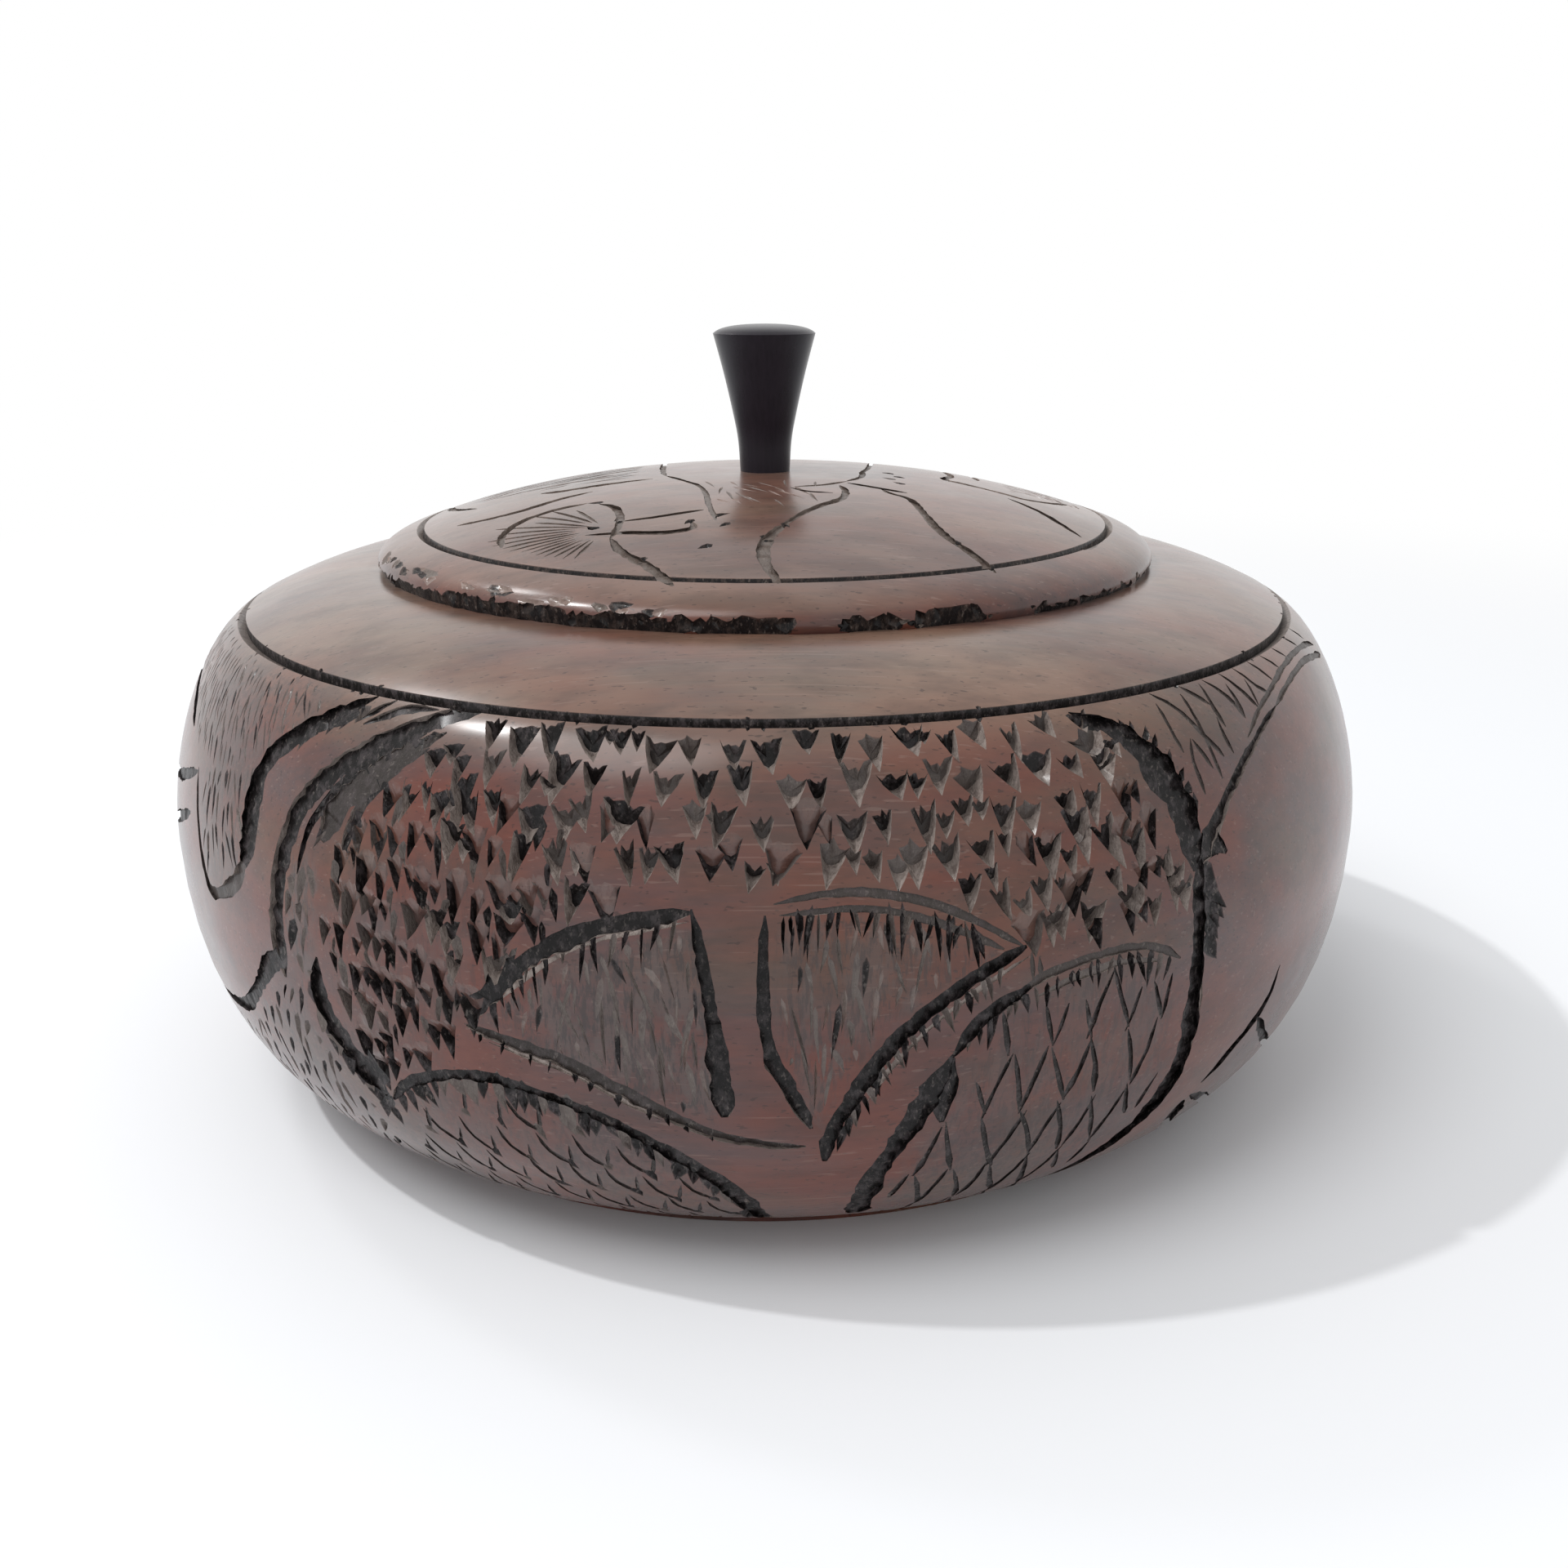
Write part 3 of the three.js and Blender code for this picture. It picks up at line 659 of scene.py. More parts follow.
def turnedBlackwood(look):
    # Blackwood, turned and polished: near black with a violet cast, faint grain lines and a clear gloss.
    material, tree, shader = newMaterial("turnedBlackwood")
    p = inMillimetres(tree)
    grain = addNode(tree, "ShaderNodeVectorMath", {0: p, 1: [1 / s for s in look["grain"]]},
                    operation="MULTIPLY")
    lines = addNode(tree, "ShaderNodeTexNoise", {"Vector": grain, "Scale": 1.0, "Detail": 3.0})
    colour = addNode(tree, "ShaderNodeMix", {0: lines, 6: fromHex(look["dark"]),
                                             7: fromHex(look["light"])}, data_type="RGBA")
    strength, height = look["bump"]
    bump = addNode(tree, "ShaderNodeBump", {"Height": lines, "Strength": strength, "Distance": height * mm})
    tree.links.new(colour.outputs[2], shader.inputs["Base Color"])
    tree.links.new(bump.outputs[0], shader.inputs["Normal"])
    shader.inputs["Roughness"].default_value = look["roughness"]
    shader.inputs["IOR"].default_value = woodFinish["ior"]
    shader.inputs["Specular IOR Level"].default_value = look["sheen"]
    return material


# Bowl

bowl = {
    "bellyRadius": 74.95, "bellyHeight": 33, "footRadius": 58, "footHeight": 1.9, "footStep": 0.5,
    "lowerFullness": 28.3, "upperFullness": 9.6,
    "grooveRadius": 65.2, "grooveHeight": 57.5, "grooveSlope": 31.5, "grooveFullness": 5.8,
    "grooveWidth": 1.2, "grooveDepth": 1.0,
    "seatEdge": 50.2, "seatHeight": 62, "shoulderBulge": 1.5,
    "mouthRadius": 41, "neckLength": 7, "wall": 8, "floor": 8, "floorRadius": 45,
    "hollowFullness": 14, "undercutReach": 15,
    "sides": 180, "lowerSteps": 16, "upperSteps": 14, "shoulderSteps": 8, "hollowSteps": 10,
    # nicks along the groove: how many, at which shares of its width, and their width, length and depth
    "nicks": 60, "nickEdges": (-0.55, -0.55, 0.55), "nickSizes": ((0.3, 1.0), (0.4, 0.8), (0.2, 0.4)),
    "carving": {"turn": 14, "sizeSpread": 0.24, "ragged": 0.24, "seed": 11},
    "wood": {"dark": "#4e3938", "light": "#602b1d", "band": "#564535", "streak": "#7a4330", "pore": "#1c100e",
             # the third colour on the next line is a painted sheen, laid on skin that faces up
             "dirt": "#2b1c18", "scratch": "#a08a80", "paintedTopSheen": "#8a7664", "smudge": "#504441",
             "soot": "#2f2827", "stain": "#151212", "stainWorn": "#453f40", "fleck": "#857c77",
             "bottom": "#0f0d0d", "cleanCut": "#8d827c", "cleanWorn": "#5f534e",
             "roughness": 0.38, "sheen": 0.06, "wax": 0.95, "waxInCuts": 0.35, "waxRoughness": 0.24},
}
bowlWood = waxedCarvedWood("waxedCarvedBowlWood", bowl["wood"])


def bowlProfile():
    b = bowl
    belly = (b["bellyRadius"], b["bellyHeight"])
    hollow = (b["bellyRadius"] - b["wall"], b["bellyHeight"])
    cut = vCut(np.array((b["grooveRadius"], b["grooveHeight"])), b["grooveSlope"], b["grooveWidth"],
               b["grooveDepth"])
    edge = np.array((b["seatEdge"], b["seatHeight"]))
    lower = curve((b["footRadius"] + b["footStep"], b["footHeight"]), (0, 0), belly,
                  (0, -b["lowerFullness"]), b["lowerSteps"])
    upper = curve(belly, (0, b["upperFullness"]), cut[0], downhill(b["grooveSlope"]) * b["grooveFullness"],
                  b["upperSteps"])
    shoulder = arch(cut[2], (cut[2] + edge) / 2 + (0, b["shoulderBulge"]), edge, b["shoulderSteps"])
    neck = (b["mouthRadius"], b["seatHeight"] - b["neckLength"])
    outside = [*lower, *upper[1:], *shoulder]
    profile = [(0, 0), (b["footRadius"], 0), (b["footRadius"], b["footHeight"]), *lower, *upper[1:], cut[1],
               *shoulder, (b["mouthRadius"], b["seatHeight"]),
               *curve(neck, (b["undercutReach"], 0), hollow, (0, b["hollowFullness"]), b["hollowSteps"]),
               *curve(hollow, (0, -b["hollowFullness"]), (b["floorRadius"], b["floor"]),
                      (b["undercutReach"], 0), b["hollowSteps"])[1:],
               (0, b["floor"])]
    grooveRing = 3 + len(lower) + len(upper) - 2
    rings = dict(zip((grooveRing, grooveRing + 1), cutters["groove"]))
    return profile, outside, rings, len(lower) + len(upper) - 1


profile, outside, grooveRings, lineAtGroove = bowlProfile()
bowlSkin = Skin(outside)
grooveAt = (bowlSkin.s[lineAtGroove - 1] + bowlSkin.s[lineAtGroove]) / 2
bowlBlank = turned("bowlBlank", profile, bowl["sides"], grooveRings)
halfRound = math.pi * bowl["bellyRadius"]


def onBowl(u, d):
    return bowlSkin.place(-math.pi / 2 + u / bowl["bellyRadius"], grooveAt - d)


def onBowlBack(u, d):
    return onBowl(halfRound - u, d)


# Panels of the front, as outlines in u and d.
chipField = [(-32, 1.2), (34, 1.5), (38, 6), (41, 10), (43, 16), (43.5, 24), (36, 23), (30, 23.5), (25, 21),
             (20, 18.5), (13, 15.5), (8, 14.5), (1, 15.5), (-6, 15), (-12, 17), (-18, 19), (-23, 22.5),
             (-28, 27.5), (-33, 35), (-37, 38), (-40, 41), (-43.5, 37), (-46, 32), (-47.5, 24), (-45, 17),
             (-42, 11.5), (-37, 5.5)]
panels = {
    "leftLeaf": [(-28, 30.5), (-23, 26), (-17, 22), (-7, 19), (-6, 26), (-5, 33), (-5, 39.5), (-10, 37.3),
                 (-16, 34), (-22, 31.8)],
    "rightLeaf": [(1, 19), (8, 18.5), (15, 20), (22, 22.8), (14, 26.8), (9, 31.3), (5.5, 37), (4, 39),
                  (2, 33), (1, 26)],
    "scales": [(13, 60), (12.5, 50), (14.5, 43), (18.5, 36), (20, 31), (24, 28.5), (30, 26.5), (36, 26),
               (42, 28.5), (43.5, 36), (42.5, 42), (39.5, 47), (36, 52), (31, 61)],
    "lower": [(-40, 46), (-38, 41), (-33, 38.5), (-28, 37.5), (-20, 39), (-13, 42), (-8, 46), (-4.5, 51.5),
              (-2.5, 61), (-40, 61), (-48, 52)],
    "fan": [(-76, 14.5), (-60, 11), (-60, 20), (-64, 24.5), (-70, 26.5), (-74, 20)],
    "farLeft": [(-104, 1), (-50, 1), (-52, 3), (-57, 7), (-60, 10), (-70, 14), (-80, 13), (-90, 9),
                (-104, 8)],
    "under": [(-92, 50), (-80, 44.5), (-70, 43), (-62, 38), (-56, 33), (-51, 31), (-50, 38), (-45, 44),
              (-44, 54), (-50, 61), (-80, 61), (-92, 58)],
    "leftField": [(-47, 22), (-38, 15), (-25, 15), (-24, 24), (-34, 36), (-42, 42), (-47, 32)],
    "strip": [(-51.5, 18), (-47.5, 19), (-48.5, 24), (-48.5, 31), (-52, 31), (-52.5, 24)],
    "leftSideLeaf": [(-118, 7), (-112, 16), (-109, 26), (-111, 38), (-118, 51)],
    "rightSideLeaf": [(118, 7), (112, 16), (109, 26), (111, 38), (118, 51)],
}
# Share of stain that is smeared over each panel.
smudged = {"leftField": 0.4, "leftLeaf": 1, "rightLeaf": 0.75, "scales": 0.55, "lower": 0.55, "fan": 0.7,
           "farLeft": 0.6, "under": 0.6, "strip": 1, "leftSideLeaf": 0.6, "rightSideLeaf": 0.6}

# Gouged lines of the front: points in u and d, width or widths, depth, lean and tone.
gougedLines = [
    ([(-31.5, 0.4), (-36, 1.8), (-40, 3.9), (-45, 6.9), (-49, 10.2), (-51.6, 13.5), (-53.3, 18),
      (-54.2, 23), (-54.5, 28), (-54, 32)], (1.3, 2.0, 2.3, 2.5, 2.2, 2.2), 1.1, 0.3, 1),
    ([(-34.6, 3.2), (-39, 5.8), (-43, 8.9), (-46, 12.5), (-47.5, 16)], (1.0, 2.2, 3.0, 2.6), 1.1, 0.3, 0.85),
    ([(-48, 28), (-48.5, 32), (-47, 36), (-43.5, 40.5), (-41.5, 43)], (1.2, 2.8, 3.4, 2.6), 1.2, 0, 1),
    ([(-37, 0.9), (-41, 1.4), (-46, 3.9)], (0.7, 1.1, 0.6), 0.6, 0.4, 1),
    ([(-37, 3.6), (-42, 6.6), (-46.5, 10.6), (-49.6, 15), (-50.8, 20)], (0.7, 1.2, 1.1, 0.7), 0.7, -0.3, 0.9),
    ([(-36, 5), (-40, 8), (-43, 12), (-44.5, 17)], (0.8, 1.4, 1.2), 0.8, 0.3, 1),
    ([(-43.3, 0.6), (-47.3, 3.9)], (0.9, 0.9, 0.5), 0.6, 0.4, 1),
    ([(-46.3, 0.6), (-49, 2.6), (-53, 5.2), (-57, 7.8), (-59.8, 11), (-60.3, 15), (-60.3, 19),
      (-61, 22)], (1.0, 2.2, 2.4, 2.6, 2.8, 3.0), 1.0, 0, 0.9),
    ([(-60.5, 21), (-63, 24.2), (-67, 26.3), (-70.5, 26.8), (-74, 21), (-77, 15)],
     (2.2, 1.6, 1.2, 0.8, 0.6), 0.7, 0.3, 0.8),
    ([(-29.3, 30.3), (-25, 25.8), (-21, 22.3), (-16, 19.8), (-11, 18.6), (-7, 17.8)], (1.7, 1.9, 1.3), 1.2,
     0.5, 1),
    ([(-7, 17.5), (-6.2, 21), (-5.4, 26), (-4.7, 32), (-4.2, 38.5)], (0.7, 1.2, 1.9, 2.3), 1.3, -0.2, 1),
    ([(-29.3, 31), (-25, 32), (-20, 33.2), (-15, 35.5), (-10, 38.3), (-5, 40.8), (0, 42), (3.5, 42.3)],
     (1.0, 1.5, 1.4, 0.9), 0.8, 0.2, 0.85),
    ([(-0.3, 18), (-0.5, 24), (0, 31), (2, 35.5), (4, 40)], (0.9, 1.3, 1.8), 1.2, 0.2, 1),
    ([(0.5, 17), (5, 16.2), (10, 16.3), (15, 17.6), (20, 20), (24, 22.6)], (0.5, 0.8, 0.8, 0.6), 0.4, 0.4,
     0.82),
    ([(1, 18), (8, 17.6), (13, 18.5), (18, 20.5), (22, 22.6)], (0.5, 0.8, 0.7), 0.4, 0.4, 0.82),
    ([(24.3, 22.6), (19, 25), (14, 28.4), (10.5, 32), (7.8, 36.5), (5.8, 41), (5.4, 44.5)],
     (1.3, 1.5, 1.5, 1.6), 1.3, 0.25, 1),
    ([(10, 58), (10, 52), (11.2, 46), (13.6, 40.5), (15.5, 36.5), (17.4, 32.5)], (3.0, 2.6, 2.2, 2.8, 1.2),
     1.1, 0, 1),
    ([(16.8, 40.5), (16.6, 37.5), (17.4, 33)], (1.6, 2.4, 1.0), 0.8, 0, 0.95),
    ([(17.2, 33), (19.5, 29.8), (22, 28), (25, 26.6)], (1.0, 1.4, 1.0), 1.0, 0, 1),
    ([(23.5, 27), (27, 25.6), (31, 24.9), (36, 24.8), (39.5, 25.6), (42.5, 27.4)], (0.9, 1.0, 0.7), 0.5, 0.3,
     0.8),
    ([(25.5, 27.8), (30, 26.5), (35, 26.1), (40, 27)], (0.5, 0.9, 0.5), 0.3, 0.3, 0.7),
    ([(33.5, 1.2), (36.5, 2.8), (39.5, 5), (42, 8.5), (43.8, 12), (44.6, 16), (44.6, 19)],
     (0.8, 1.8, 3.2, 4.0, 3.0, 2.2), 1.3, 0.35, 1),
    ([(45.6, 17.5), (45, 22), (45, 27), (45.2, 33), (45.5, 39), (44.5, 44), (42, 49), (38.5, 53.5),
      (35, 58)], (1.6, 1.8, 2.2, 2.6, 2.4, 2.4), 1.2, 0.2, 1),
    ([(45.5, 18.5), (48, 15.6), (51, 13), (54.5, 10.6), (58, 8.9), (62, 7.3), (66, 6.2)],
     (2.4, 1.6, 1.1, 0.8, 0.7), 0.8, 0.3, 0.9),
    ([(66, 6.2), (70, 5.2), (76, 4.3), (82, 4.1), (88, 4.9), (94, 6.0)], (0.6, 0.8, 0.8, 1.0), 0.45, 0.4,
     0.76),
    ([(57.5, 8), (62, 5.8), (67, 4.4), (72, 3.3), (78, 2.7), (84, 2.8), (90, 3.6), (93, 4.5)],
     (0.5, 0.7, 0.8, 0.6), 0.4, 0.4, 0.76),
    ([(46.8, 18), (48.2, 17), (49.6, 18.2)], (1.8, 2.6, 1.6), 0.9, 0, 1),
    ([(61.5, 34), (60, 38.5), (56, 42), (52, 46)], (0.8, 1.4, 1.0), 0.8, 0, 1),
    ([(59.5, 40), (65, 45), (72, 49.5), (79, 53.5), (86, 55), (93, 52.5), (99, 50.5)], 1.3, 0.8, 0, 1),
    ([(51, 47.5), (56, 50.5), (62, 55), (67, 58.5)], 1.4, 0.8, 0, 1),
    ([(50, 48), (51.5, 53), (56, 57.5), (63, 60), (70, 59), (77, 57), (84, 57)], (2.2, 1.9, 1.5), 0.8, 0, 1),
    ([(-41, 43), (-38.5, 40.3), (-34.5, 38), (-29.5, 36.7), (-26, 36.7), (-21, 37.8), (-15.5, 39.8),
      (-10.5, 43), (-6, 46.8), (-3, 51), (-1.2, 56), (-0.4, 60)], (1.2, 1.2, 1.3, 1.5, 1.8, 2.2), 1.0,
     -0.3, 1),
    ([(-80, 43), (-72, 41.5), (-66, 39.5), (-61, 35.5), (-57, 31.5), (-54, 29.5)], (1.0, 1.8, 2.2), 0.9, 0,
     0.9),
    ([(-105, 52), (-97, 50), (-90, 48.5), (-84, 48)], 1.6, 0.8, 0, 1),
    ([(-105, 9.5), (-98, 8), (-90, 9.5), (-84, 12)], 1.2, 0.7, 0, 1),
    ([(-105, 22), (-95, 20), (-85, 18), (-77, 15.5)], 1.3, 0.7, 0, 1),
    ([(-105, 28), (-95, 26), (-85, 23), (-78, 20.5)], 1.3, 0.7, 0, 1),
    ([(-118, 4), (-111, 13), (-107, 26), (-109.5, 40), (-118, 54)], 1.9, 0.9, 0, 1),
    ([(118, 4), (111, 13), (107, 26), (109.5, 40), (118, 54)], 1.9, 0.9, 0, 1),
]

# Thin lines between the groove and the long line at the upper right, and two between the leaves.
thinLines = [
    [(45.6, 0.7), (48, 3), (50, 6), (52.3, 9)], [(50, 1.6), (50.1, 4), (50.5, 8), (51, 11)],
    [(50.7, 0.7), (53.6, 3.6)], [(54.2, 1), (53.9, 4), (54.4, 6.2)], [(53.6, 5), (53.5, 7), (54.1, 9)],
    [(55.2, 0.7), (57.4, 3.4), (58.5, 6)], [(58.6, 2), (58.6, 6.1)], [(59, 0.6), (60.5, 3), (62.1, 5.6)],
    [(62.8, 2.2), (62.3, 5.6)], [(62.4, 0.6), (64.2, 3.4), (66, 4.6)], [(66.6, 0.6), (68.8, 3.8)],
    [(70.6, 0.6), (72.6, 3)], [(75.4, 0.6), (77, 2.4)], [(82, 0.5), (83.8, 2.4)],
    [(48, 6.3), (47.3, 8.5), (47.8, 12)], [(48.2, 6.4), (50, 9.8)], [(45.5, 2), (45.7, 5), (46.3, 7.5)],
    [(88, 0.6), (89.5, 2.8)], [(24.8, 23.2), (25, 26)], [(25.6, 23.8), (25.9, 26.2)],
]

# Pale lips of clean wood along the lower edge of a gouged line.
paleLips = [
    [(-25.6, 27.8), (-20.5, 23.3), (-15.6, 20.8), (-11, 19.5), (-7.4, 18.7)],
    [(24.6, 23.6), (20, 25.9), (15.2, 29.3), (11.8, 32.8), (9.2, 37)],
    [(-27, 32.4), (-20, 34.2), (-14.8, 36.6), (-10, 39.3)],
    [(46.2, 31), (46.4, 36), (46.2, 41)],
]

# Chips that stand out from the rest: u, d, angle, width and height as shares of a torn chip.
largeChips = [(34.6, 4.4, 20, 1.5, 1.0), (35.6, 6.8, 12, 1.2, 1.3), (27, 20.5, 4, 1.2, 1.2),
              (31.5, 20.8, 0, 1.1, 1.25), (36.5, 19.8, 6, 1.1, 1.2), (41.6, 19, 8, 0.8, 1.5),
              (31, 12.2, 10, 1.2, 1.2), (34.2, 13.6, 12, 1.3, 1.3), (37.6, 15.2, 12, 1.0, 1.4),
              (-14, 9.4, 0, 1.3, 1.0), (-24.6, 19, -20, 1.1, 1.4), (-31, 8.8, 0, 1.0, 1.5)]


# Rows of chips: spacing, how far they stray and vary, and what changes towards the left and down. Places are
# in mm, "tongues" and "between" are shares of the chips, and a pair after "left" or "down" is where a share
# starts to rise and the mm in which it rises by 1.
chips = {
    "across": 3.75, "down": 3.7, "rowsTo": 65, "firstRow": 0.65, "wander": 0.2, "spread": 0.15,
    "depth": (0.85, 1.15),
    "leanFrom": 18, "lean": 9,
    "tonguesBelow": 8, "tongues": 0.2, "leftTongues": (5, 60), "downTongues": (12, 50),
    "longBeyond": (-20, 9), "long": 1.25,
    "between": 0.45, "topRows": 6, "topShare": 0.3, "denseBeyond": (-18, 6), "dense": 0.5,
    "betweenAt": (0.5, 0.15, 0.3), "smaller": (0.55, 0.85),
    # the left side is cut all over, with narrow stabs between the chips
    "stabsBeyond": (-18, 8), "stabAt": (1.2, 1.6), "stab": ((0.6, 1.2), (2.4, 4.2)), "stabDepth": 0.6,
    "largeDepth": 1.1,
}


def scatter(mark, part):
    # repeatable scatter between -1 and 1; part tells the numbers of one mark apart
    wide = math.sin(mark * 12.9898 + part * 78.233) * 43758.5453
    return 2 * (wide - math.floor(wide)) - 1


def beyond(u, d, corner):
    # left of the corner and below it
    return u < corner[0] and d > corner[1]


def cutChips(marks):
    # rows of chips as the solid has them, with smaller ones in between
    c, rng = chips, marks.rng
    columns = math.ceil(bowl["bellyRadius"] / c["across"])
    mark = 0
    for row in range(math.ceil(c["rowsTo"] / c["down"])):
        for column in range(-columns, columns + 1):
            mark += 1
            u = (column + row % 2 / 2 + c["wander"] * scatter(mark, 0)) * c["across"]
            d = (row + c["firstRow"] + c["wander"] * scatter(mark, 1)) * c["down"]
            size = 1 + c["spread"] * scatter(mark, 2)
            lean = c["lean"] if u > c["leanFrom"] else 0
            # lower down and to the left, more of the cuts are long ones under a rounded tongue of wood
            (left, leftRise), (down, downRise) = c["leftTongues"], c["downTongues"]
            tongues = c["tongues"] + max(0, -u - left) / leftRise + max(0, d - down) / downRise
            tongues = 0 if d < c["tonguesBelow"] else tongues
            kind = chipKind("tongue" if rng.random() < tongues else "torn", rng)
            long = c["long"] if beyond(u, d, c["longBeyond"]) else 1
            if inside(chipField, (u, d))[0]:
                marks.cut(u, d, lean, (size, size * long, rng.uniform(*c["depth"])), kind)
            u += (c["betweenAt"][0] + c["betweenAt"][1] * scatter(mark, 3)) * c["across"]
            d += c["betweenAt"][2] * scatter(mark, 4) * c["down"]
            chance, smaller = rng.random(), rng.uniform(*c["smaller"])
            share = c["between"] * (c["topShare"] if d < c["topRows"] else 1)
            share += c["dense"] * beyond(u, d, c["denseBeyond"])
            if chance < share and inside(chipField, (u, d))[0]:
                marks.cut(u, d, lean, (smaller, smaller * long, smaller), kind)
            stab = (u + c["stabAt"][0], d + c["stabAt"][1])
            if beyond(u, d, c["stabsBeyond"]) and inside(chipField, stab)[0]:
                size = [rng.uniform(*pair) for pair in c["stab"]]
                marks.cut(*stab, lean, (*size, c["stabDepth"]), strokeKind(rng.choice(("dark", "mid")), rng))
    for u, d, angle, wide, high in largeChips:
        marks.cut(u, d, angle, (wide, high, c["largeDepth"]), chipKind("torn", rng))


# The carver's hand: how far strokes stray as a share of their spacing, the shares to which one is shortened
# to stay inside, the half of it that has to, the depth that the shortest keeps, and how fringes are spaced,
# turned and hung from their line.
hand = {"stray": 0.3, "shortened": (1, 0.6, 0.35), "within": 0.42, "depthKept": 0.4,
        "fringeSpacing": (0.6, 1.4), "fringeTurn": 12, "fringeDrop": 0.3, "fringeDepth": (0.3, 0.6)}


def strokes(marks, outline, across, down, sizes, angle, tones, turn=8):
    # short cuts in staggered rows; sizes are the least and most width, length and depth of one
    low, high = np.min(outline, axis=0), np.max(outline, axis=0)
    rng, stray, kept = marks.rng, hand["stray"], hand["depthKept"]
    for i, d0 in enumerate(np.arange(low[1], high[1], down)):
        for u0 in np.arange(low[0] + (i % 2) * across / 2, high[0], across):
            u, d = u0 + rng.uniform(-stray, stray) * across, d0 + rng.uniform(-stray, stray) * down
            tilt = (angle(u, d) if callable(angle) else angle) + rng.uniform(-turn, turn)
            size, kind = [rng.uniform(*pair) for pair in sizes], strokeKind(rng.choice(tones), rng)
            for share in hand["shortened"]:
                reach = hand["within"] * size[1] * share
                step = np.array((-math.sin(math.radians(tilt)), -math.cos(math.radians(tilt)))) * reach
                if inside(outline, [(u, d) + step, (u, d) - step]).all():
                    size = (size[0], size[1] * share, size[2] * (kept + (1 - kept) * share))
                    marks.cut(u, d, tilt, size, kind)
                    break


def fringe(marks, points, spacing, widths, lengths, angle, tones):
    # torn wedges that hang from a line
    path = smoothPath(points, 0.5)
    s = np.r_[0, np.cumsum(np.linalg.norm(np.diff(path, axis=0), axis=1))]
    rng, turn = marks.rng, hand["fringeTurn"]
    at = rng.uniform(0, spacing)
    while at < s[-1]:
        u, d = (np.interp(at, s, path[:, k]) for k in (0, 1))
        length, tilt = rng.uniform(*lengths), angle + rng.uniform(-turn, turn)
        drop = length * hand["fringeDrop"]
        u += math.sin(math.radians(tilt)) * drop
        d += math.cos(math.radians(tilt)) * drop
        marks.cut(u, d, tilt, (rng.uniform(*widths), length, rng.uniform(*hand["fringeDepth"])),
                  strokeKind(rng.choice(tones), rng))
        at += spacing * rng.uniform(*hand["fringeSpacing"])


# Scales: spacing, width, depth and tone of the cuts, how far their ends stray as shares of the spacing, the
# mm by which they bend, the share that is cut, how much wider they end, and the share of its half that is
# left of a cut that would leave the panel.
scaleCut = {"across": 4.3, "down": 7.4, "width": 0.5, "depth": 0.32, "tone": 0.88, "strayAcross": 0.12,
            "strayDown": 0.07, "bend": 0.3, "kept": 0.95, "swell": (1.2, 2.2), "stub": 0.2, "taper": 1.2,
            "step": 1.6}


def scales(marks, outline):
    # zigzag rows of thin cuts; the points of each row meet the notches of the one above, as on long scales
    c, rng = scaleCut, marks.rng
    low, high = np.min(outline, axis=0), np.max(outline, axis=0)
    for row in range(-1, math.ceil((high[1] - low[1]) / c["down"]) + 1):
        for k in range(-2, math.ceil(2 * (high[0] - low[0]) / c["across"]) + 3):
            ends = []
            for i in (k, k + 1):
                stray = rng.uniform(-c["strayDown"], c["strayDown"]) * c["down"]
                d = low[1] + (row + 0.5 + (0.5 if i % 2 else -0.5)) * c["down"] + stray
                stray = rng.uniform(-c["strayAcross"], c["strayAcross"]) * c["across"]
                u = low[0] + (i + row % 2) * c["across"] / 2 + stray
                ends.append((u, d))
            ends.sort(key=lambda p: p[1])
            middle = (np.array(ends[0]) + ends[1]) / 2 + (rng.uniform(-c["bend"], c["bend"]), 0)
            keep = inside(outline, [ends[0], middle, ends[1]])
            if keep.any() and rng.random() < c["kept"]:
                path = [end if kept else tuple((1 - c["stub"]) * middle + c["stub"] * np.array(end))
                        for end, kept in ((ends[0], keep[0]), (ends[1], keep[2]))]
                if keep[1]:
                    widths = (c["width"], c["width"], c["width"] * rng.uniform(*c["swell"]))
                    marks.gouge([path[0], tuple(middle), path[1]], widths, c["depth"], 0, c["tone"],
                                c["taper"], c["step"])


# Feathers: spacing, widths, depths and tone of the long and the short lines, how far their foot strays in mm,
# how far the lines reach to the side in mm and up as a share of the spacing, the long line's bend in mm, and
# the angle, width, length and depth of the knock at their foot.
featherCut = {"across": 4.2, "down": 4.6, "tone": 0.85, "stray": (0.5, 0.7),
              "long": ((0.384, 0.48, 0.72), 0.32), "longAside": (2.6, 3.6), "longRise": (0.85, 1.0),
              "short": ((0.336, 0.48), 0.256), "shortAside": (0.1, 0.7), "shortRise": (0.5, 0.8),
              "bend": (-0.5, 0.4), "taper": 1.2, "step": 1.2,
              "knock": ((10, 50), (0.8, 1.3), (1.2, 2.2)), "knockDepth": 0.45}


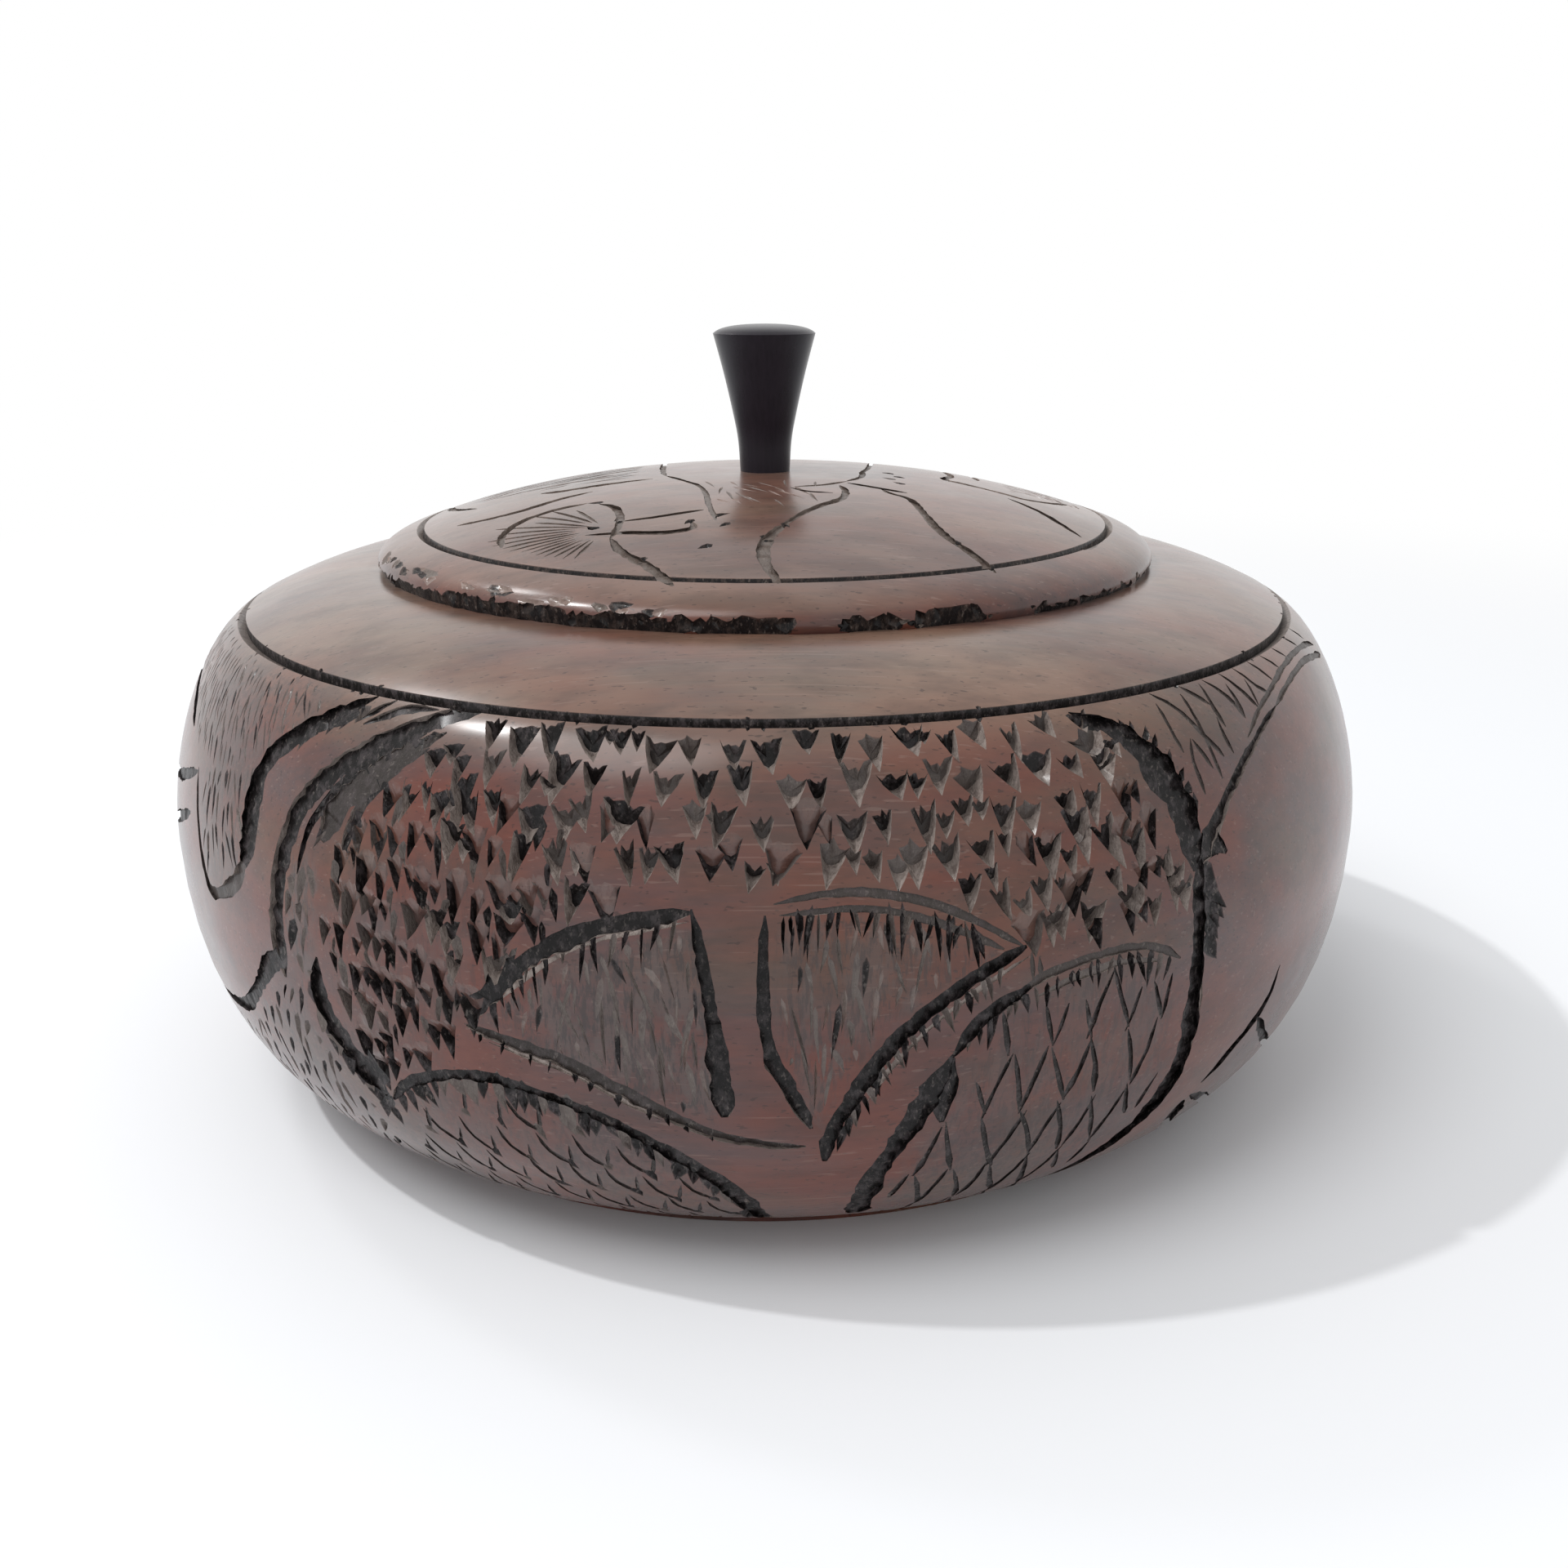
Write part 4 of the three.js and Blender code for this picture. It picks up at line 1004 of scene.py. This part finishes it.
def feathers(marks, outline):
    # rows of long lines that lean to the right, each with a short one back up and a knock at their foot
    c, rng = featherCut, marks.rng
    across, down, (aside, away) = c["across"], c["down"], c["stray"]
    low, high = np.min(outline, axis=0), np.max(outline, axis=0)
    for row, d0 in enumerate(np.arange(low[1] + down, high[1] + down, down)):
        for u0 in np.arange(low[0] - across * (row % 2) / 2, high[0] + across, across):
            foot = np.array((u0 + rng.uniform(-aside, aside), d0 + rng.uniform(-away, away)))
            head = foot - (rng.uniform(*c["longAside"]), down * rng.uniform(*c["longRise"]))
            side = foot + (rng.uniform(*c["shortAside"]), -down * rng.uniform(*c["shortRise"]))
            bend = (head + foot) / 2 + c["bend"]
            if not inside(outline, [foot, bend]).all():
                continue
            for end, path, cut in ((head, [head, bend, foot], c["long"]), (side, [side, foot], c["short"])):
                if inside(outline, end)[0]:
                    marks.gouge(path, *cut, tone=c["tone"], taper=c["taper"], step=c["step"])
            angle, wide, long = (rng.uniform(*pair) for pair in c["knock"])
            marks.cut(*foot, angle, (wide, long, c["knockDepth"]),
                      strokeKind(rng.choice(("dark", "mid")), rng))


# Fields of strokes: panel, spacing across and down, sizes, angle, tones and turn.
blades, sideBlades = ((0.35, 0.8), (3.0, 8.0), (0.1, 0.28)), ((0.6, 1.1), (3, 5), (0.25, 0.45))
leafTones = ("dark", "mid", "mid", "mid", "mid", "pale", "pale")
strokeFields = [
    ("leftLeaf", 1.6, 2.6, blades, 8, leafTones, 14),
    ("rightLeaf", 1.6, 2.8, blades, 0, leafTones, 12),
    ("strip", 1.6, 3.0, ((0.8, 1.6), (2.5, 4.5), (0.3, 0.6)), 0, leafTones),
    ("fan", 1.5, 3.4, ((0.4, 0.8), (3.0, 5.0), (0.25, 0.5)), lambda u, d: (u + 68) * 1.6 + 12,
     ("dark", "mid")),
    ("farLeft", 1.2, 2.6, ((0.3, 0.5), (2.6, 4.4), (0.15, 0.3)), 24, ("dark", "mid", "mid")),
    ("under", 1.8, 3.6, ((0.5, 1.0), (2.5, 5), (0.25, 0.5)), -14, ("dark", "mid")),
    ("leftSideLeaf", 2.2, 3.6, sideBlades, 0, ("dark", "mid")),
    ("rightSideLeaf", 2.2, 3.6, sideBlades, 0, ("dark", "mid")),
]

# Torn wood that hangs from some of the lines: points, spacing, widths, lengths, angle and tones.
dark, mixed = ("dark",), ("dark", "dark", "mid")
fringes = [
    ([(-40, 42), (-34.5, 38), (-29.5, 36.7)], 1.8, (1.2, 2.2), (3, 6), 10, mixed),
    ([(-29.5, 36.7), (-26, 36.7), (-15.5, 39.8), (-10.5, 43), (-6, 46.8), (-3, 51), (-1.8, 55)],
     1.5, (1.2, 2.4), (3, 6), 0, mixed),
    ([(22, 24), (19, 26), (14, 29.4), (11, 32.6), (8.4, 37), (6.6, 41)], 1.0, (0.5, 1.1), (2, 4), 10, mixed),
    ([(18.5, 31), (21, 29), (25, 27.2), (30, 25.9), (36, 25.6), (41, 27)], 1.2, (0.5, 1.0), (2, 5), 0, mixed),
    ([(1, 18.4), (8, 17.8), (15, 19), (20, 21)], 0.9, (0.4, 0.9), (2.5, 6), 0, mixed),
    ([(-27, 28), (-21, 22.8), (-16, 20.2), (-8, 18.2)], 1.5, (0.4, 0.9), (2, 6), 0, mixed),
    ([(-28, 31.8), (-20, 33.8), (-12, 37.6), (-5, 41)], 2.6, (0.5, 1.1), (1, 2), 0, dark),
    ([(-49, 31), (-47, 37), (-43, 42), (-41, 45)], 1.3, (1.6, 3.0), (3, 5), -6, mixed),
    ([(-36, 3.6), (-41, 7), (-45, 10.5), (-47.5, 15)], 0.9, (0.7, 1.5), (1.5, 3.5), -35, mixed),
    ([(-38, 3.4), (-46, 8), (-51, 12.5), (-53, 18), (-54, 27)], 1.1, (0.6, 1.2), (1.5, 3.5), -14, mixed),
    ([(-46, 1.8), (-53, 5.6), (-58, 9), (-59.8, 13), (-60, 18)], 1.1, (0.9, 1.8), (1.6, 3.2), -30, mixed),
    ([(38, 3), (42.5, 6), (45, 10), (46, 14)], 1.8, (0.6, 1.3), (1.2, 2.2), 150, dark),
    ([(46, 19), (46.4, 23), (46.2, 27)], 0.8, (1.4, 2.4), (3.0, 5.0), 32, dark),
    ([(45.6, 30), (45.8, 38), (45, 43)], 2.0, (0.8, 1.6), (2.0, 3.4), 10, dark),
]


def carveSide(marks):
    # the whole carving of the front, also used mirrored for the back
    cutChips(marks)
    for line in gougedLines:
        marks.gouge(*line)
    for points in thinLines:
        marks.gouge(points, (0.4, 0.5, 0.6), depth=0.32, tone=0.8, taper=1.2, step=1.0)
    for panel, *settings in strokeFields:
        strokes(marks, panels[panel], *settings)
    scales(marks, panels["scales"])
    feathers(marks, panels["lower"])
    for line in fringes:
        fringe(marks, *line)
    for points in paleLips:
        marks.gouge(points, (0.25, 0.55, 0.35, 0.6, 0.3), depth=0.28, tone=cutters["clean"], taper=2.0,
                    step=0.9, chatter=0.3)


def cutNicks(marks, rng):
    # small nicks along the groove's two edges
    for k in range(bowl["nicks"]):
        turn = rng.uniform(0, 2 * math.pi)
        edge = grooveAt + rng.choice(bowl["nickEdges"]) * bowl["grooveWidth"]
        at, out, right, up = bowlSkin.place(turn, edge)
        size = [rng.uniform(*pair) for pair in bowl["nickSizes"]]
        marks.cuts.append((at, out, up, size, strokeKind("dark", rng)))


def smudgeOnBowl(points):
    # share of stain on the skin at each point, from the panel that it lies in
    turn = np.arctan2(points[:, 1], points[:, 0]) + math.pi / 2
    u = ((turn + math.pi) % (2 * math.pi) - math.pi) * bowl["bellyRadius"]
    u = np.where(np.abs(u) > halfRound / 2, np.sign(u) * halfRound - u, u)
    where = bowlSkin.depthOf(points)[1]
    places = np.stack([u, grooveAt - where], axis=1)
    share = np.zeros(len(points))
    for name, value in smudged.items():
        share[inside(panels[name], places)] = value
    return share


bowlMarks = Marks("bowl", onBowl, 21)
carveSide(bowlMarks)
backMarks = Marks("bowlBack", onBowlBack, 22, -1)
carveSide(backMarks)
bowlMarks.add(backMarks)
cutNicks(bowlMarks, random.Random(23))
print("bowl marks:", len(bowlMarks.cuts), "cuts,", len(bowlMarks.lines), "gouged lines")
bowlCarved = carve(bowlBlank, "bowlCarved", bowlMarks, bowlSkin, bowlWood, bowl["carving"])
setAttribute(bowlCarved.data, "smudge", "FLOAT", "POINT", smudgeOnBowl(pointsOf(bowlCarved.data)))
print("bowl carved:", len(bowlCarved.data.polygons), "faces")

# Lid

lid = {
    "seatHeight": 62, "radius": 48.6, "beadBulge": 1.0, "beadLift": 1.5, "beadHeight": 4.5,
    "beadFullness": 4.4, "grooveRadius": 43.5, "grooveSlope": 17, "grooveWidth": 1.0, "grooveDepth": 0.8,
    "domeHeight": 10.5, "domeEdge": 26, "padEdge": 3.7,
    "ceiling": 2.5, "recessRadius": 34, "recessCorner": 5, "spigotDepth": 5, "spigotRadius": 40.2,
    "holeRadius": 2.8, "holeBottom": 5.2,
    "sides": 180, "beadSteps": 12, "domeSteps": 18, "cornerSteps": 7,
    # how the gouged lines below are cut, a nick's size, and the mm above the table from which the hatched
    # parts are smeared
    "lines": {"width": 0.85, "depth": 1.2, "lean": 0.45, "tone": 0.7}, "nickSize": (1.2, 2.0, 0.6),
    "smearedAbove": 66,
    "carving": {"turn": 5, "sizeSpread": 0.15, "ragged": 0.28, "seed": 31},
    "wood": {"dark": "#503a38", "light": "#602d1c", "band": "#564333", "streak": "#7a4632", "pore": "#1f1412",
             # the third colour on the next line is a painted sheen, laid on skin that faces up
             "dirt": "#2f201b", "scratch": "#a89288", "paintedTopSheen": "#846e60", "smudge": "#574c49",
             "soot": "#2e2624", "stain": "#141011", "stainWorn": "#413733", "fleck": "#8b7f78",
             "bottom": "#0a0808", "cleanCut": "#94877f", "cleanWorn": "#6b5c54",
             "roughness": 0.36, "sheen": 0.06, "wax": 0.85, "waxInCuts": 0.35, "waxRoughness": 0.22},
}
lidWood = waxedCarvedWood("waxedCarvedLidWood", lid["wood"])


def lidProfile():
    q = lid
    cut = vCut(np.array((q["grooveRadius"], q["beadHeight"])), q["grooveSlope"], q["grooveWidth"],
               q["grooveDepth"])
    bead = curve((q["radius"], 0), (q["beadBulge"], q["beadLift"]), cut[0],
                 downhill(q["grooveSlope"]) * q["beadFullness"], q["beadSteps"])
    dome = arch(cut[2], (q["domeEdge"], q["domeHeight"]), (q["padEdge"], q["domeHeight"]), q["domeSteps"])
    corner = [(q["recessRadius"] - q["recessCorner"] * (1 - math.sin(t)),
               q["ceiling"] - q["recessCorner"] * (1 - math.cos(t)))
              for t in np.linspace(0, math.pi / 2, q["cornerSteps"])]
    profile = [(0, q["ceiling"]), *corner, (q["recessRadius"], -q["spigotDepth"]),
               (q["spigotRadius"], -q["spigotDepth"]), (q["spigotRadius"], 0), *bead, cut[1], *dome,
               (q["holeRadius"], q["domeHeight"]), (q["holeRadius"], q["holeBottom"]), (0, q["holeBottom"])]
    raised = [(r, z + q["seatHeight"]) for r, z in profile]
    outside = [(r, z + q["seatHeight"]) for r, z in [*bead, *dome]]
    grooveRing = 1 + len(corner) + 3 + len(bead) - 1
    return raised, outside, dict(zip((grooveRing, grooveRing + 1), cutters["groove"]))


profile, outside, grooveRings = lidProfile()
lidSkin = Skin(outside)
lidBlank = turned("lidBlank", profile, lid["sides"], grooveRings)


def onLid(x, y):
    # the surface is found by its radius, and up the surface is to the back
    fall = lidSkin.line[::-1]
    s = np.interp(math.hypot(x, y), fall[:, 0], lidSkin.s[::-1])
    at, out, right, up = lidSkin.place(math.atan2(y, x), s)
    back = np.array((0.0, 1.0, 0.0))
    back -= out * back.dot(out)
    back /= np.linalg.norm(back)
    return at, out, np.cross(back, out), back


def onBead(turn, rise):
    # degrees to the right of the front, and mm up the bead from the seat
    return lidSkin.place(math.radians(turn - 90), rise)


# Gouged lines of the lid: points in x and y, width or widths, depth, lean.
lidLines = [
    ([(-16, 41), (-15.5, 37), (-15, 32), (-14, 20), (-13.5, 8), (-13, 0), (-12.5, -3)], 0.9, 0.5, 0),
    ([(-12.5, -3), (-10, -8), (-8, -12), (-7, -17), (-6.5, -22), (-5.5, -28)], 0.7, 0.3, 0),
    ([(17, 42), (16, 38), (15.5, 33), (15, 20), (13.5, 5), (12.5, 0), (12, -5), (10, -9)], 0.9, 0.5, 0),
    ([(10, -9), (7, -12), (3.5, -13.5)], 0.8, 0.4, 0),
    ([(10, -10), (13, -12), (17, -14)], 1.0, 0.4, 0),
    ([(14, -13), (15, -15), (17, -17), (18, -22), (19, -27), (20.5, -31), (22, -33), (24.5, -37.5)],
     (0.9, 1.0, 1.3, 1.4, 1.1), 0.6, 0.4),
    ([(9, -12), (9.5, -15), (9, -19), (6, -23), (3.5, -27), (2, -30)], (1.0, 1.2, 1.0), 0.5, 0),
    ([(2.2, -29.5), (0.2, -34), (-0.2, -39), (1.3, -44)], (1.2, 1.7, 1.4), 0.7, 0.5),
    ([(3, -14), (5, -16), (8, -16.5)], 0.8, 0.3, 0),
    ([(28, 34), (34, 31), (39, 26), (42, 20), (43, 12)], (1.2, 1.8, 1.3), 0.6, 0),
    ([(39, 0), (36, -4), (32.5, -6), (30, -5), (25, -2), (23, 0), (24.5, 6), (24.5, 20), (26, 30),
      (28, 34)], (1.0, 1.4, 1.1, 1.0), 0.5, 0),
    ([(28, 5), (28.5, 20), (28.5, 27)], 1.0, 0.4, 0),
    ([(30, -8), (33, -12), (35, -16), (37, -20)], (0.9, 1.3, 0.9), 0.45, 0),
    ([(41, -15), (38, -22), (36, -25)], 1.0, 0.45, 0),
    ([(-14, -5), (-20, -6), (-25, -6.5), (-28, -5.5)], (1.0, 1.8, 1.5), 0.6, 0.3),
    ([(-21, -10), (-25, -12), (-29, -14.5), (-33, -15), (-37, -14)], (1.1, 1.5, 1.2), 0.5, 0.3),
    ([(-18, 41), (-24, 40), (-29, 37), (-34, 32), (-37, 29.5), (-41, 22), (-42.5, 14), (-42, 9),
      (-41, 3), (-39, -2), (-36, -6)], (1.1, 1.8, 1.4, 1.1, 1.0), 0.5, 0),
    ([(-21, -16.5), (-25, -17.5), (-28.5, -20), (-30, -24), (-29.5, -28)], (1.0, 1.3, 1.0), 0.6, 0),
    ([(-19.5, -17.5), (-17.5, -20), (-16.5, -24), (-16.5, -28), (-17, -31)], (0.9, 1.2, 1.0), 0.6, 0.4),
    ([(-17, -31), (-15.5, -35), (-12.5, -39), (-9.5, -43.8)], (1.2, 1.7, 1.5), 0.8, 0.5),
    ([(-16.5, -26), (-12, -25.5), (-7, -24)], (0.7, 1.1, 0.8), 0.45, 0),
    ([(-20, -29), (-15, -30), (-11, -31), (-8, -30), (-8.5, -27.5)], (0.5, 1.3, 1.3, 0.8), 0.45, 0),
]
fanHatch = [(-20.5, -18.5), (-25, -19.5), (-28, -22), (-28.8, -27), (-26, -33), (-19, -36), (-18, -28),
            (-18.5, -22)]
leafGrain = [(-17, 36), (-24, 37), (-32, 31), (-38, 22), (-40, 10), (-37, -1), (-28, -3), (-16, -3)]
rimFan = [(31, -3), (36, -2.5), (40.5, -1), (41, 6), (36, 9), (31, 6)]
knobPatch = [(-9, -9), (7, -9), (6, -14), (8, -19), (2, -24), (-5, -24), (-7, -18)]
smearedOnLid = ((leafGrain, 0.75), (fanHatch, 0.45))

# Fan of thin lines from the foot of the stem: degrees from, to and apart, its share from front to back, where
# the lines start and stop, and the radius that they stay within.
lidFan = {"foot": (-18, -28), "turns": (110, 262, 9), "squash": 0.8, "near": (2, 4), "far": (11, 16),
          "within": 41}
# Dark nicks, most of them where lines meet.
lidNicks = [(-5, -26), (-4.5, -29.5), (-6.5, -35.5), (16, 0), (17, -3), (15.5, -5), (16.5, -8), (-20, -16.8),
            (-16.6, -25), (-13.5, -37.5), (2.2, -29.8), (0.4, -33.5), (-8.5, -28), (-19.5, -27), (20.6, -31)]

# Black bites along the bead's lower edge: from and to in degrees, height in mm, depth.
beadBites = [(-82, -62, 1.4, 0.7), (-63, -44, 1.5, 0.8), (-45, -24, 2.2, 0.9), (-25, -9, 1.8, 0.9),
             (-8.5, 3, 1.9, 0.9), (9, 16.5, 2.0, 0.9), (18, 28, 2.3, 1.0), (36, 44, 1.0, 0.6),
             (45, 60, 0.9, 0.5), (62, 80, 1.0, 0.5),
             (95, 104, 1.6, 0.8), (118, 140, 1.4, 0.7), (150, 158, 1.8, 0.8), (176, 199, 1.3, 0.6),
             (212, 224, 1.8, 0.8), (240, 262, 1.5, 0.7)]


# Wear on the bead and a painted highlight: how many cuts, between which degrees and mm up it, how far they
# tilt, their least and most width, length and depth, and their tones. Grey patches above the bites on the
# left, which are worn wood and also paint the bead's highlight there, then old knocks.
beadWearAndHighlight = [
    (30, (-78, -12), (2.0, 3.4), 20, ((1.5, 4.5), (0.8, 1.8), (0.2, 0.32)), ("pale", "mid", "dark")),
    (70, (-180, 180), (0.1, 1.3), 15, ((0.6, 1.8), (0.5, 1.0), (0.3, 0.55)), ("dark", "mid")),
]


def cutFan(marks):
    (x, y), squash = lidFan["foot"], lidFan["squash"]
    for turn in range(*lidFan["turns"]):
        c, n = math.cos(math.radians(turn)), math.sin(math.radians(turn))
        near, far = marks.rng.uniform(*lidFan["near"]), marks.rng.uniform(*lidFan["far"])
        while math.hypot(x + far * c, y + squash * far * n) > lidFan["within"]:
            far -= 0.5
        marks.gouge([(x + near * c, y + near * n), (x + far * c, y + squash * far * n)],
                    (0.3, 0.5, 0.4), depth=0.25, lean=0.3, tone=0.72, taper=1.5, step=1.5)


# How a bite is cut: degrees between the points of its gouge and how its width varies, the share of its
# height at which the gouge and the cuts lie, degrees kept free at its ends, how far the cuts turn and stand
# apart, and their width in mm and their length and depth as shares of the bite's.
biteCut = {"points": 3.1, "vary": (0.8, 1.2), "gougeAt": 0.25, "cutsAt": 0.5, "free": 0.8, "turn": 40,
           "apart": (1.0, 3.2), "width": (1.2, 3.4), "length": (0.7, 1.7), "depth": (0.5, 0.9)}


def cutBites(marks):
    # each bite is a gouge along the edge, with ragged cuts over it whose points are up or down
    c, rng = biteCut, marks.rng
    for start, stop, high, deep in beadBites:
        count = max(3, round((stop - start) / c["points"]))
        widths = [high * rng.uniform(*c["vary"]) for k in range(count)]
        marks.gouge([(turn, c["gougeAt"] * high) for turn in np.linspace(start, stop, count)], widths, deep,
                    taper=0.6, step=2.3, chatter=0.2)
        turn = start + c["free"]
        while turn < stop - c["free"]:
            size = (rng.uniform(*c["width"]), high * rng.uniform(*c["length"]),
                    deep * rng.uniform(*c["depth"]))
            angle = rng.choice((0, 180)) + rng.uniform(-c["turn"], c["turn"])
            marks.cut(turn, c["cutsAt"] * high, angle, size, strokeKind("dark", rng))
            turn += rng.uniform(*c["apart"])


def carveLid(marks, beadMarks):
    line = lid["lines"]
    for points, width, depth, lean in lidLines:
        marks.gouge(points, np.array(width) * line["width"], depth * line["depth"], lean or line["lean"],
                    line["tone"], taper=2.0, step=0.7)
    cutFan(marks)
    strokes(marks, leafGrain, 2.2, 2.8, ((0.5, 0.9), (5, 10), (0.25, 0.45)), -74, ("mid", "mid", "dark"), 8)
    strokes(marks, rimFan, 1.5, 2.4, ((0.4, 0.7), (2, 4.5), (0.15, 0.3)), lambda x, y: 40 - 9 * (x - 36),
            ("pale", "mid"), 6)
    strokes(marks, knobPatch, 2.4, 3.0, ((0.3, 0.6), (3, 6), (0.12, 0.2)), 25, ("mid", "pale"), 30)
    for x, y in lidNicks:
        marks.cut(x, y, marks.rng.uniform(0, 360), lid["nickSize"], strokeKind("dark", marks.rng))
    cutBites(beadMarks)
    rng = beadMarks.rng
    # the first row paints the bead's highlight with grey patches over worn wood, and the second cuts old
    # knocks
    for count, turns, rises, tilt, sizes, tones in beadWearAndHighlight:
        for k in range(count):
            size = [rng.uniform(*pair) for pair in sizes]
            beadMarks.cut(rng.uniform(*turns), rng.uniform(*rises), rng.uniform(-tilt, tilt), size,
                          strokeKind(rng.choice(tones), rng))


lidMarks = Marks("lid", onLid, 41)
beadMarks = Marks("bead", onBead, 42)
carveLid(lidMarks, beadMarks)
lidMarks.add(beadMarks)
lidCarved = carve(lidBlank, "lidCarved", lidMarks, lidSkin, lidWood, lid["carving"])
lidPoints = pointsOf(lidCarved.data)
onTop = sum(share * inside(part, lidPoints[:, :2] / mm) for part, share in smearedOnLid)
setAttribute(lidCarved.data, "smudge", "FLOAT", "POINT", onTop * (lidPoints[:, 2] > lid["smearedAbove"] * mm))
print("lid carved:", len(lidCarved.data.polygons), "faces")

# Knob

knob = {
    "seatHeight": 72.5, "baseRadius": 3.15, "topRadius": 6.4, "length": 17, "edge": 0.3, "edgeDrop": 0.4,
    "cap": 1, "capStart": 0.12, "capFullness": 0.75, "capSteps": 14, "stemStep": 0.7,
    "flare": [(3.4, 3.8), (3.97, 7), (5.05, 11.8), (6.1, 15.8)],
    "tenonRadius": 2.5, "tenonLength": 5, "sides": 96, "crease": 40,
    "wood": {"dark": "#0f0c14", "light": "#211a24", "grain": (0.5, 0.5, 8), "bump": (0.2, 0.03),
             "roughness": 0.26, "sheen": 0.28},
}


def knobProfile():
    k = knob
    apex = (0, k["length"] + k["cap"])
    rim = (k["topRadius"], k["length"] - k["edge"] * k["edgeDrop"])
    stem = smoothPath([(k["baseRadius"], 0), *k["flare"], rim], k["stemStep"])
    cap = arch((k["topRadius"] - k["edge"], k["length"] + k["capStart"]),
               (k["topRadius"] * k["capFullness"], apex[1]), apex, k["capSteps"])
    profile = [(0, -k["tenonLength"]), (k["tenonRadius"], -k["tenonLength"]), (k["tenonRadius"], 0), *stem,
               *cap]
    return [(r, z + k["seatHeight"]) for r, z in profile]


knobTurned = turned("knobTurned", knobProfile(), knob["sides"])
knobTurned.data.shade_smooth()
knobTurned.data.set_sharp_from_angle(angle=math.radians(knob["crease"]))
knobTurned.data.attributes.remove(knobTurned.data.attributes["tooled"])
knobTurned.data.materials.append(turnedBlackwood(knob["wood"]))
print("knob turned")

for spare in [sectionObject, *cutterShelf.objects]:
    bpy.data.objects.remove(spare)
bpy.data.collections.remove(cutterShelf)

# Table, lights and camera

stage = {
    "tableRadius": 1200, "tableSides": 96, "table": "#f0f2f5", "tableRoughness": 0.7,
    "fadeFrom": 190, "fadeTo": 520,
    "worldOnObject": 0.66,
    "keyAt": (-810, -30, 1210), "keyPower": 6.3, "keySize": 45,
    "softboxAt": (-420, -420, 1000), "softboxPower": 4.0, "softboxSize": 650,
    "windowAt": (-700, 545, 1050), "windowPower": 1.4, "windowSize": 160,
    "cameraAt": (-0.06, -202.03, 96.67), "lookDown": 18.2, "lookRight": 0.67, "roll": -0.167,
    "focalLength": 35.796, "sensor": 36,
}


def makeTable():
    radius, count = stage["tableRadius"] * mm, stage["tableSides"]
    corners = [(radius * math.cos(2 * math.pi * k / count), radius * math.sin(2 * math.pi * k / count), 0)
               for k in range(count)]
    table = newObject("table", corners, [], [tuple(range(count))])
    # matt white paint; further out the eye sees it fade into the white background
    material, tree, shader = newMaterial("palePaintedTable")
    shader.inputs["Base Color"].default_value = fromHex(stage["table"])
    shader.inputs["Roughness"].default_value = stage["tableRoughness"]
    away = addNode(tree, "ShaderNodeVectorMath", {0: inMillimetres(tree)}, operation="LENGTH")
    fade = addNode(tree, "ShaderNodeMapRange", {0: away.outputs["Value"], 1: stage["fadeFrom"],
                                                2: stage["fadeTo"]}, interpolation_type="SMOOTHSTEP")
    seen = addNode(tree, "ShaderNodeMath", {0: fade, 1: seenRays(tree)}, operation="MULTIPLY")
    white = addNode(tree, "ShaderNodeEmission", {0: (1, 1, 1, 1), 1: 1.0})
    blend = addNode(tree, "ShaderNodeMixShader", {0: seen, 1: shader, 2: white})
    output = next(n for n in tree.nodes if n.type == "OUTPUT_MATERIAL")
    tree.links.new(blend.outputs[0], output.inputs[0])
    table.data.materials.append(material)


def seenRays(tree):
    # 1 for what the eye, gloss and glass see
    rays = addNode(tree, "ShaderNodeLightPath").outputs
    seen = addNode(tree, "ShaderNodeMath", {0: rays["Is Camera Ray"], 1: rays["Is Glossy Ray"]},
                   operation="MAXIMUM")
    return addNode(tree, "ShaderNodeMath", {0: seen, 1: rays["Is Transmission Ray"]}, operation="MAXIMUM")


def makeWorld():
    # the world lights the object evenly, and is seen as plain white
    world = bpy.data.worlds.new("studio")
    bpy.context.scene.world = world
    world.use_nodes = True
    tree = world.node_tree
    tree.nodes.clear()
    strength = addNode(tree, "ShaderNodeMapRange", {0: seenRays(tree), 3: stage["worldOnObject"], 4: 1.0})
    background = addNode(tree, "ShaderNodeBackground", {0: (1, 1, 1, 1), 1: strength})
    addNode(tree, "ShaderNodeOutputWorld", {0: background})


def makeLamp(name):
    lamp = bpy.data.lights.new(name, "AREA")
    lamp.energy = stage[name + "Power"]
    lamp.size = stage[name + "Size"] * mm
    lamp.shape = "DISK"
    made = bpy.data.objects.new(name, lamp)
    made.location = [c * mm for c in stage[name + "At"]]
    made.rotation_euler = Vector(stage[name + "At"]).to_track_quat("Z", "Y").to_euler()
    bpy.context.scene.collection.objects.link(made)


def makeCamera():
    camera = bpy.data.objects.new("camera", bpy.data.cameras.new("camera"))
    bpy.context.scene.collection.objects.link(camera)
    camera.data.lens = stage["focalLength"]
    camera.data.sensor_width = stage["sensor"]
    camera.data.clip_start = 0.01
    camera.location = [c * mm for c in stage["cameraAt"]]
    turns = ((-stage["lookRight"], "Z"), (90 - stage["lookDown"], "X"), (stage["roll"], "Z"))
    facing = Matrix.Identity(3)
    for degrees, axis in turns:
        facing = facing @ Matrix.Rotation(math.radians(degrees), 3, axis)
    camera.rotation_euler = facing.to_euler()
    bpy.context.scene.camera = camera


makeTable()
makeWorld()
for lampName in ("key", "softbox", "window"):
    makeLamp(lampName)
makeCamera()
bpy.context.scene.view_settings.view_transform = "Standard"
print("stage set")

# Where each piece belongs

for piece, node, body, slot in ((bowlCarved, "bowl", "bowl", "bowl_wood"),
                                (lidCarved, "lid", "lid", "lid_wood"),
                                (knobTurned, "knob", "lid", "knob_blackwood")):
    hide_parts(node)
    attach(piece, body)
